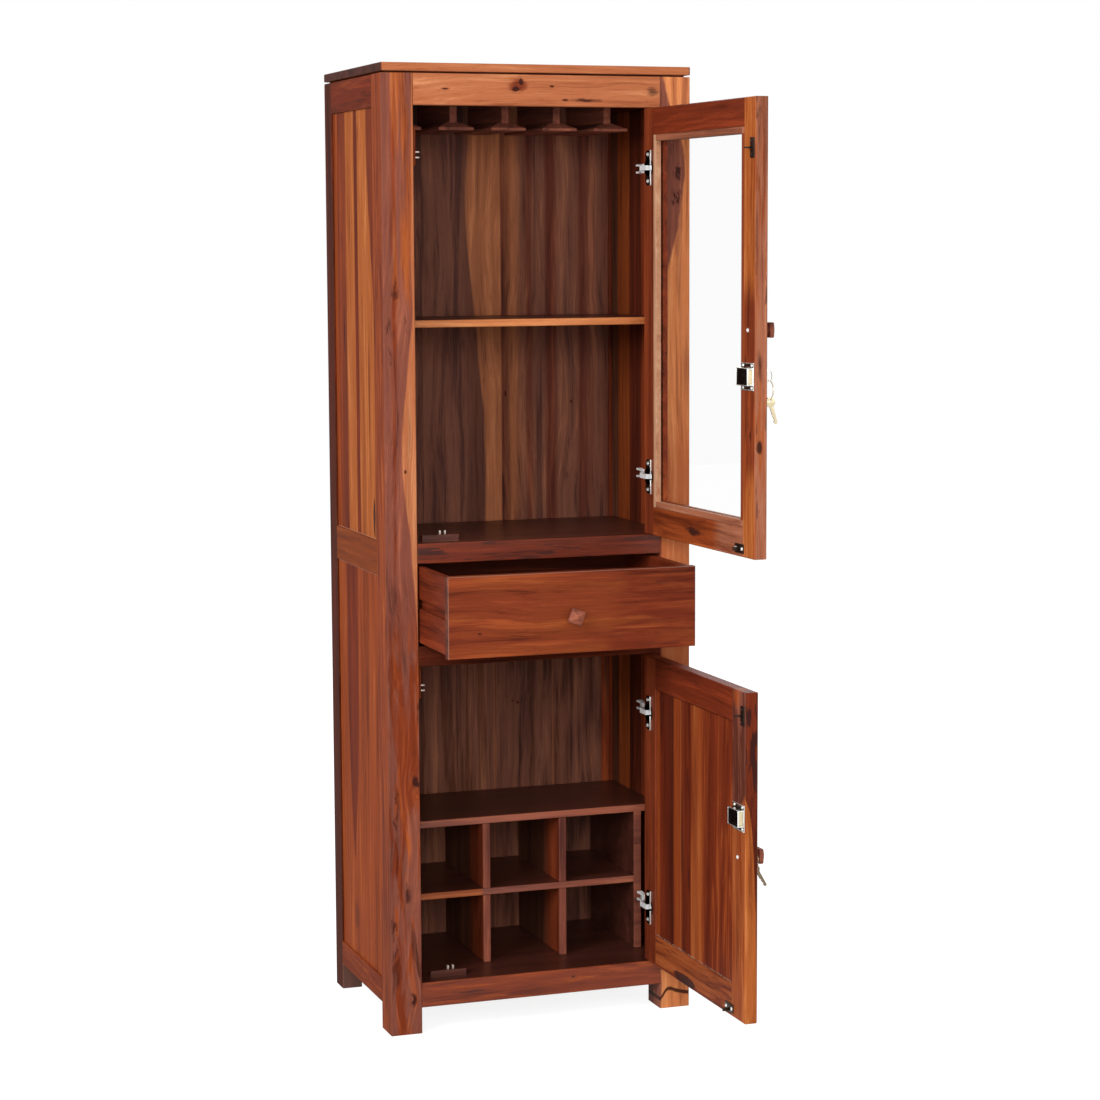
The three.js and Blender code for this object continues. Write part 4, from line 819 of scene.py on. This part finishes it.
# painted highlight: a copy of nickel whitened to near white with little metal, standing in for the bright
# shine of the hinge covers and links
nickel_whitened_as_highlight = metal("nickel_whitened_as_highlight", "ffffff", 0.36, metallic=0.25, amount=0.05)
plate = metal("dark_plate", "17171a", 0.22, amount=0.1)
pale_brass = metal("pale_brass", "d8c9a6", 0.30, amount=0.2)
aged_brass = metal("aged_brass", "86735c", 0.34, amount=0.5)
bronze = metal("dark_bronze", "3a2a22", 0.38, metallic=0.8, dirt="120c0a", amount=0.4)
dull_nickel = metal("dull_nickel", "b5a69c", 0.42, metallic=0.6, amount=0.3)
zinc = metal("zinc_screw", "f0efec", 0.28, metallic=0.6, amount=0.1)
for door in LEVELS:
    for end in ("top", "bottom"):
        for part, material in (("arm", nickel), ("link", nickel_whitened_as_highlight), ("cup", plate)):
            wear(f"{door}_{end}_hinge_{part}", material)
    wear(f"{door}_lock", metal(f"{door}_lock_metal", "dcdcd8", 0.16, body=f"{door}_door",
                               marks=lock_marks(LEVELS[door]["lock"])))
    wear(f"{door}_bolt", pale_brass)
wear("upper_key", nickel)

glass = new_material("clear_glass")
for key, value in (("Base Color", (0.05, 0.07, 0.06, 1)), ("Roughness", 0.03), ("IOR", 1.45),
                   ("Alpha", 0.02)):
    glass.node_tree.nodes["Principled BSDF"].inputs[key].default_value = value
wear("upper_door_glass", glass)


# ---------------------------------------------------------------- hardware, in the same millimetres
def to_world(body):
    """Takes a shut body's carcass millimetres to world metres at rest."""
    out = DRAWER_OUT if body == "drawer" else 0
    move = Matrix.Translation((0, SHIFT_Y - out, 0))
    if body in OPEN:
        pole = Matrix.Translation((*POLE, 0))
        move = move @ pole @ Matrix.Rotation(math.radians(OPEN[body]), 4, "Z") @ pole.inverted()
    return Matrix.Scale(0.001, 4) @ move


def piece(name, body, material, build, frame_body=None, sharp=35):
    """A new piece: build(bm) draws it with its body shut; it rides on frame_body, or on body."""
    frame_body = frame_body or body
    bm = bmesh.new()
    build(bm)
    bmesh.ops.transform(bm, matrix=to_world(body), verts=bm.verts)
    bmesh.ops.recalc_face_normals(bm, faces=bm.faces)
    mesh = bpy.data.meshes.new(name)
    bm.to_mesh(mesh)
    bm.free()
    mesh.polygons.foreach_set("use_smooth", [True] * len(mesh.polygons))
    mesh.set_sharp_from_angle(angle=math.radians(sharp))
    mesh.materials.append(material)
    obj = bpy.data.objects.new(name, mesh)
    bpy.context.collection.objects.link(obj)
    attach(obj, frame_body)
    return obj


def rounded(bm, x, y, z, radius=0.5, segments=2):
    """A box with rounded edges."""
    size = [b - a for a, b in (x, y, z)]
    middle = [(a + b) / 2 for a, b in (x, y, z)]
    made = bmesh.ops.create_cube(bm, size=1, matrix=Matrix.Translation(middle) @ Matrix.Diagonal((*size, 1)))
    edges = {e for v in made["verts"] for e in v.link_edges}
    bmesh.ops.bevel(bm, geom=list(edges), offset=radius, segments=segments, affect="EDGES", profile=0.5)


def turns(count):
    return [2 * math.pi * i / count for i in range(count)]


def loft(bm, rings, capped=False):
    """Faces from each ring of points to the next, and over both ends if capped."""
    count = len(rings[0])
    for a, b in zip(rings, rings[1:]):
        for k in range(count):
            bm.faces.new((a[k], a[(k + 1) % count], b[(k + 1) % count], b[k]))
    if capped:
        bm.faces.new(rings[0])
        bm.faces.new(rings[-1])


def lathe(bm, centre, axis, profile, sides=24, dent=lambda u, v: 0):
    """A turned form: profile is (radius, height) from its rim to its middle; dent(u, v) sinks it."""
    place = Matrix.Translation(centre) @ Vector(axis).to_track_quat("Z", "Y").to_matrix().to_4x4()

    def point(u, v, height):
        return bm.verts.new(place @ Vector((u, v, height)))

    rings = []
    for radius, height in profile:
        places = [(radius * math.cos(a), radius * math.sin(a)) for a in turns(sides)]
        rings.append([point(u, v, height - dent(u, v)) for u, v in places])
    loft(bm, rings)
    tip, foot = point(0, 0, profile[-1][1] - dent(0, 0)), point(0, 0, profile[0][1])
    for i in range(sides):
        bm.faces.new((rings[-1][i], rings[-1][(i + 1) % sides], tip))
        bm.faces.new((rings[0][(i + 1) % sides], rings[0][i], foot))


def screw(bm, centre, axis, radius):
    """A pan head with a cross recess."""
    arm, reach = radius * 0.17, radius * 0.62

    def cross(u, v):
        inside = (abs(u) < arm and abs(v) < reach) or (abs(v) < arm and abs(u) < reach)
        return radius * 0.34 if inside else 0

    profile = [(radius, -0.4), (radius, radius * 0.14), (radius * 0.96, radius * 0.26)]
    profile += [(radius * s, radius * (0.26 + 0.26 * (1 - s * s))) for s in
                (0.86, 0.74, 0.64, 0.6, 0.5, 0.4, 0.3, 0.22, 0.18, 0.15, 0.08)]
    lathe(bm, centre, axis, profile, 40, cross)


def torus(bm, centre, radius, wire):
    """A ring in the plane of X and Z."""
    rings = []
    for a in turns(64):
        reaches = [(radius + wire * math.cos(c), wire * math.sin(c)) for c in turns(10)]
        rings.append([bm.verts.new(Vector(centre) + Vector((reach * math.cos(a), rise, reach * math.sin(a))))
                      for reach, rise in reaches])
    loft(bm, rings + rings[:1])


def sleeve(bm, level, start=31.0, end=74.3):
    """The waisted cover of a hinge arm: two lips, and the slot between them that the link runs in."""
    stations, slot = 15, 5.1
    for side in (-1, 1):
        rows = []
        for i in range(stations):
            share = i / (stations - 1)
            y = start + (end - start) * share
            waist = 0.5 - 0.5 * math.cos(2 * math.pi * min(max((share - 0.12) / 0.76, 0), 1))
            last = i in (0, stations - 1)
            half = 9.1 - 2.2 * waist - (1.1 if last else 0)
            top = ARM_TOP - 1.5 + (0.7 if last else 0)
            ring = [(ARM_TOP + 8.6, half), (ARM_TOP + 1.2, half), (top + 0.5, half - 0.3),
                    (top, half - 0.9), (top, slot + 0.5), (top + 0.5, slot), (ARM_TOP - 0.15, slot),
                    (ARM_TOP - 0.15, half - 0.7), (ARM_TOP + 8.6, half - 0.7)]
            rows.append([bm.verts.new((x, y, level + side * z)) for x, z in ring])
        loft(bm, rows, capped=True)


def knob(bm, x, z, turn=0.0):
    """A square knob on a face at Y = 0: a turned neck, and a head with a low pyramid on it."""
    lathe(bm, (x, 0, z), (0, -1, 0), [(6.8, -0.3), (6.6, 0.5), (5.8, 1.5), (5.5, 6.0), (5.7, 10.4),
                                      (6.6, 12.2), (3.0, 12.4)], 28)
    spin = Matrix.Translation((x, 0, z)) @ Matrix.Rotation(math.radians(turn), 4, "Y")
    rows = []
    for y, half, corner in ((-12.0, 12.6, 1.6), (-12.3, 13.2, 1.8), (-13.0, 13.5, 2.0), (-18.6, 13.5, 2.0),
                            (-19.3, 13.2, 1.8), (-19.8, 12.5, 1.5), (-22.4, 8.0, 1.0), (-24.8, 3.9, 0.7),
                            (-26.0, 1.6, 0.5), (-26.4, 0.6, 0.2)):
        row = []
        for k, (su, sv) in enumerate(((1, 1), (-1, 1), (-1, -1), (1, -1))):
            for i in range(5):
                a = math.radians(90 * k + 22.5 * i)
                u = su * (half - corner) + corner * math.cos(a)
                v = sv * (half - corner) + corner * math.sin(a)
                row.append(bm.verts.new(spin @ Vector((u, y, v))))
        rows.append(row)
    loft(bm, rows, capped=True)


for name, body, x, z, turn in (("upper_knob", "upper_door", *LEVELS["upper"]["knob"], 0),
                               ("lower_knob", "lower_door", *LEVELS["lower"]["knob"], 0),
                               ("drawer_knob", "drawer", 0.0, 816.0, 20)):
    turned_knob = piece(f"{name}_turned", body, knob_woods[name],
                        lambda bm: knob(bm, x, z, turn), sharp=30)
    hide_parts(name)


def flat_key(name, body, frame_body, metal_finish, bow, rim, length, wide, turn_matrix, ring):
    """A cut key with a holed bow, hung on a split ring; drawn flat in U, V and then turned."""
    def outline(points):
        line = curve.splines.new("POLY")
        line.points.add(len(points) - 1)
        for point, (u, v) in zip(line.points, points):
            point.co = (u, v, 0, 1)
        line.use_cyclic_u = True

    curve = bpy.data.curves.new(name + "_outline", "CURVE")
    curve.dimensions = "2D"
    curve.fill_mode = "BOTH"
    curve.extrude, curve.bevel_depth, curve.bevel_resolution = 0.8, 0.25, 2
    middle = rim - bow
    half = wide / 2
    start = math.asin(half / bow)
    steps, round_bow, hole = 40, bow - 0.25, 2.4
    sweep = [start + (2 * math.pi - 2 * start) * i / steps for i in range(steps + 1)]
    blade = [(half, -1), (half - 0.3, -3), (half - 0.3, -length * 0.42), (half * 0.35, -length * 0.47),
             (half - 0.4, -length * 0.55), (half * 0.5, -length * 0.62), (half * 0.6, -length * 0.68),
             (half * 0.1, -length * 0.74), (half - 0.8, -length * 0.83), (half - 0.9, -length * 0.9),
             (0.5, -length + 0.3), (-0.8, -length + 0.3), (-half + 0.3, -length * 0.93), (-half + 0.3, -3),
             (-half, -1)]
    outline([(-round_bow * math.sin(a), middle - round_bow * math.cos(a)) for a in sweep]
            + [(u, middle - bow + v) for u, v in blade])
    outline([(hole * math.cos(a), hole * (math.sin(a) - 1)) for a in turns(24)])
    shell = bpy.data.objects.new(name + "_outline", curve)
    bpy.context.collection.objects.link(shell)
    flat = bpy.data.meshes.new_from_object(shell.evaluated_get(bpy.context.evaluated_depsgraph_get()))
    bpy.data.objects.remove(shell)

    def build(bm):
        bm.from_mesh(flat)
        bmesh.ops.remove_doubles(bm, verts=bm.verts, dist=0.001)
        bmesh.ops.transform(bm, matrix=turn_matrix, verts=bm.verts)
        radius, (x, y, z) = ring
        for shift in (-0.45, 0.45):
            torus(bm, (x, y + shift, z), radius, 0.62)

    return piece(name, body, metal_finish, build, frame_body)


STAND = Matrix(((0, 0, 1, 0), (1, 0, 0, 0), (0, 1, 0, 0), (0, 0, 0, 1)))  # U, V, W to Y, Z, X
lean = Matrix.Rotation(-math.radians(16), 4, "X")
key_ring = flat_key("upper_ring_and_key", "upper_door", "upper_key_ring", pale_brass, 9.0, 3.2, 31.0, 7.0,
                    Matrix.Translation((LOCK_X, -16.05, 1226.1)) @ lean
                    @ Matrix.Translation((0, 0, -3.2)) @ STAND, (17.0, (LOCK_X, -16.05, 1239.4)))
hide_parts("upper_spare_key")
low_x, low_z = LEVELS["lower"]["knob"]
knob_ring = flat_key("lower_ring_and_key", "lower_door", "lower_key", aged_brass, 7.5, 2.6, 30.0, 6.5,
                     Matrix.Translation((low_x, -9.0, low_z - 21.0))
                     @ Matrix.Rotation(-math.radians(30), 4, "X")
                     @ Matrix.Rotation(math.radians(20), 4, "Z") @ STAND,
                     (14.0, (low_x, -9.0, low_z - 7.1)))
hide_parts("lower_key")

ON_DOOR = (DOOR_INNER + 0.4, DOOR_INNER + 3.6)  # from a cup flange's edge to over its face
CUP_EDGE = (CUP_X - 13.4, CUP_X - 11.9)
CASE_EDGE = (LOCK_FACE - 2.2, LOCK_FACE + 0.3)
INWARD = (0, 1, 0)


def arm_screws(bm, level):
    for rise in (-18.5, 18.5):
        screw(bm, (LEG_FACE - 2.6, 47.3, level + rise), (-1, 0, 0), 4.0)
    screw(bm, (ARM_TOP + 6.4, 64.0, level), (-1, 0, 0), 2.6)


def cup_trim(bm, level):
    for low, high in ((-33, -5.5), (5.5, 33)):
        rounded(bm, CUP_EDGE, ON_DOOR, (level + low, level + high))
    for rise in (-25.0, 25.0):
        screw(bm, (CUP_X + 1.0, DOOR_INNER + 2.0, level + rise), INWARD, 3.8)


def lock_trim(bm, level):
    """The screws and two long edges of a lock's plate, and the frame of its case's face."""
    for rise in (-19.6, 19.6):
        for across in (-17.5, 17.5):
            screw(bm, (LOCK_X + across, DOOR_INNER + 2.0, level + rise), INWARD, 2.9)
        edge = level + rise * 1.2
        rounded(bm, (LOCK_X - 25.3, LOCK_X + 25.3), (DOOR_INNER + 0.4, DOOR_INNER + 2.9),
                (edge - 0.7, edge + 0.7), 0.45)
    for low in (-22.3, 21.0):
        rounded(bm, (LOCK_X + low, LOCK_X + low + 1.3), CASE_EDGE, (level - 15.8, level + 15.8))
    for low in (-15.8, 14.5):
        rounded(bm, (LOCK_X - 22.3, LOCK_X + 22.3), CASE_EDGE, (level + low, level + low + 1.3))


for door, numbers in LEVELS.items():
    swings = f"{door}_door"
    for end in ("top", "bottom"):
        hinge, level = f"{door}_{end}_hinge", numbers[f"hinge_{end}"]
        piece(f"{hinge}_sleeve", "cabinet", nickel_whitened_as_highlight, lambda bm: sleeve(bm, level), sharp=40)
        piece(f"{hinge}_arm_screws", "cabinet", zinc, lambda bm: arm_screws(bm, level))
        piece(f"{hinge}_cup_trim", swings, nickel, lambda bm: cup_trim(bm, level))
    piece(f"{door}_lock_trim", swings, nickel, lambda bm: lock_trim(bm, numbers["lock"]))
    x, z = numbers["knob"]
    piece(f"{door}_knob_screw", swings, zinc,
          lambda bm: screw(bm, (x, DOOR_INNER + 0.2, z), INWARD, 4.0))

# Catches: each door has a strike at its side and one at its foot, and the cabinet the rollers
STRIKE = (DOOR_INNER + 0.1, DOOR_INNER + 1.8)
TONGUE = (DOOR_INNER + 0.1, 39.3)


def side_strike(bm, level):
    rounded(bm, (-240.3, -223.7), STRIKE, (level - 17.8, level + 17.8))
    rounded(bm, (-230.8, -224.2), TONGUE, (level - 1.5, level + 1.5), 0.7, 3)
    for rise in (-11.5, 11.5):
        screw(bm, (-228.6, STRIKE[1], level + rise), INWARD, 2.6)


def floor_strike(bm, middle, foot, floor_level):
    rounded(bm, (middle - 17.8, middle + 17.8), STRIKE, (foot + 6.7, foot + 23.3))
    rounded(bm, (middle - 1.5, middle + 1.5), TONGUE, (floor_level + 13.2, floor_level + 19.8), 0.7, 3)


def floor_strike_screws(bm, middle, foot):
    for across in (-12.5, 12.5):
        screw(bm, (middle + across, STRIKE[1], foot + 15), INWARD, 3.4)


def catch_caps(bm, centres):
    for x, y, z in centres:
        rounded(bm, x, y, z, 1.0, 3)


SILLS = {"upper": (942.0, 940.0, -184.0, 1662.0), "lower": (103.0, 98.0, -176.0, 662.5)}
for door, (foot, floor_level, middle, catch) in SILLS.items():
    swings = f"{door}_door"
    piece(f"{door}_side_strike", swings, bronze, lambda bm: side_strike(bm, catch))
    piece(f"{door}_floor_strike", swings, bronze, lambda bm: floor_strike(bm, middle, foot, floor_level))
    piece(f"{door}_floor_strike_screws", swings, zinc, lambda bm: floor_strike_screws(bm, middle, foot))
    for where, caps in (
            ("side", [((-232.2, -223.7), (28.7, 37.3), (catch + s - 1.8, catch + s + 1.8))
                      for s in (-5, 5)]),
            ("floor", [((middle + s - 1.8, middle + s + 1.8), (33.7, 42.3),
                        (floor_level + 11.9, floor_level + 20.3)) for s in (-5, 5)])):
        piece(f"{door}_{where}_catch_caps", "cabinet", dull_nickel, lambda bm: catch_caps(bm, caps))


# ---------------------------------------------------------------- floor, light and camera
mesh = bpy.data.meshes.new("studio_floor")
kit = bmesh.new()
bmesh.ops.create_grid(kit, x_segments=1, y_segments=1, size=12)
kit.to_mesh(mesh)
kit.free()
floor = bpy.data.objects.new("studio_floor", mesh)
bpy.context.collection.objects.link(floor)
floor.location.z = -0.0005
floor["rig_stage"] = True


def seen_by_eye(w):
    """1 where the background is looked at, straight or in metal or glass, and 0 where it lights."""
    path = w.node("ShaderNodeLightPath").outputs
    seen = w.math("MAXIMUM", path["Is Camera Ray"], path["Is Glossy Ray"])
    return w.math("MAXIMUM", seen, path["Is Transmission Ray"])


WHITE = (1, 1, 1, 1)
FLOOR_GLOW = 0.85
WORLD_LIGHT, WORLD_SEEN = 0.42, 1.0
paper = new_material("pale_floor")
w = Web(paper.node_tree)
matt = w.node("ShaderNodeBsdfDiffuse", {"Color": (0.4, 0.4, 0.4, 1)})
glow = w.node("ShaderNodeEmission", {"Color": WHITE, "Strength": w.mul(seen_by_eye(w), FLOOR_GLOW)})
both = w.fill(w.node("ShaderNodeAddShader"), matt.outputs[0], glow.outputs[0])
w.node("ShaderNodeOutputMaterial", {"Surface": both})
floor.data.materials.append(paper)

world = bpy.data.worlds.new("studio")
bpy.context.scene.world = world
world.use_nodes = True
w = Web(world.node_tree)
back = w.node("ShaderNodeBackground", {
    "Color": WHITE, "Strength": w.mix(seen_by_eye(w), WORLD_LIGHT, WORLD_SEEN, "FLOAT")})
w.node("ShaderNodeOutputWorld", {"Surface": back.outputs[0]})


def lamp(name, place, aim, size, power):
    data = bpy.data.lights.new(name, "AREA")
    data.shape = "RECTANGLE"
    data.size, data.size_y = size
    data.energy = power
    obj = bpy.data.objects.new(name, data)
    bpy.context.collection.objects.link(obj)
    obj.location = place
    obj.rotation_mode = "QUATERNION"
    obj.rotation_quaternion = (Vector(aim) - Vector(place)).to_track_quat("-Z", "Y")


lamp("key_softbox", (-4.2, -2.7, 3.0), (0, 0, 1.0), (2.4, 2.4), 165)
lamp("front_softbox", (-1.5, -5.4, 2.1), (0, 0, 1.0), (3.0, 2.4), 140)
lamp("fill_softbox", (3.0, -4.2, 2.4), (0, 0, 1.0), (2.0, 2.0), 30)
lamp("rear_softbox", (1.5, 4.5, 3.2), (0, 0, 0.9), (2.4, 2.4), 70)

YAW, TILT, ROLL = (math.radians(a) for a in (19.312, 6.519, -0.279))
ahead = Vector((math.sin(YAW) * math.cos(TILT), math.cos(YAW) * math.cos(TILT), -math.sin(TILT)))
right = Vector((math.cos(YAW), -math.sin(YAW), 0))
up = right.cross(ahead)
eye_right = right * math.cos(ROLL) + up * math.sin(ROLL)
eye_up = up * math.cos(ROLL) - right * math.sin(ROLL)
camera_data = bpy.data.cameras.new("photo_camera")
camera_data.sensor_width = 36.0
camera_data.lens = 89.09
camera_data.clip_end = 60
camera = bpy.data.objects.new("photo_camera", camera_data)
bpy.context.collection.objects.link(camera)
camera.matrix_world = (Matrix.Translation((-1.6835, -4.8192, 1.5059))
                       @ Matrix((eye_right, eye_up, -ahead)).transposed().to_4x4())
bpy.context.scene.camera = camera
bpy.context.scene.view_settings.view_transform = "Standard"

low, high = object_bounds()
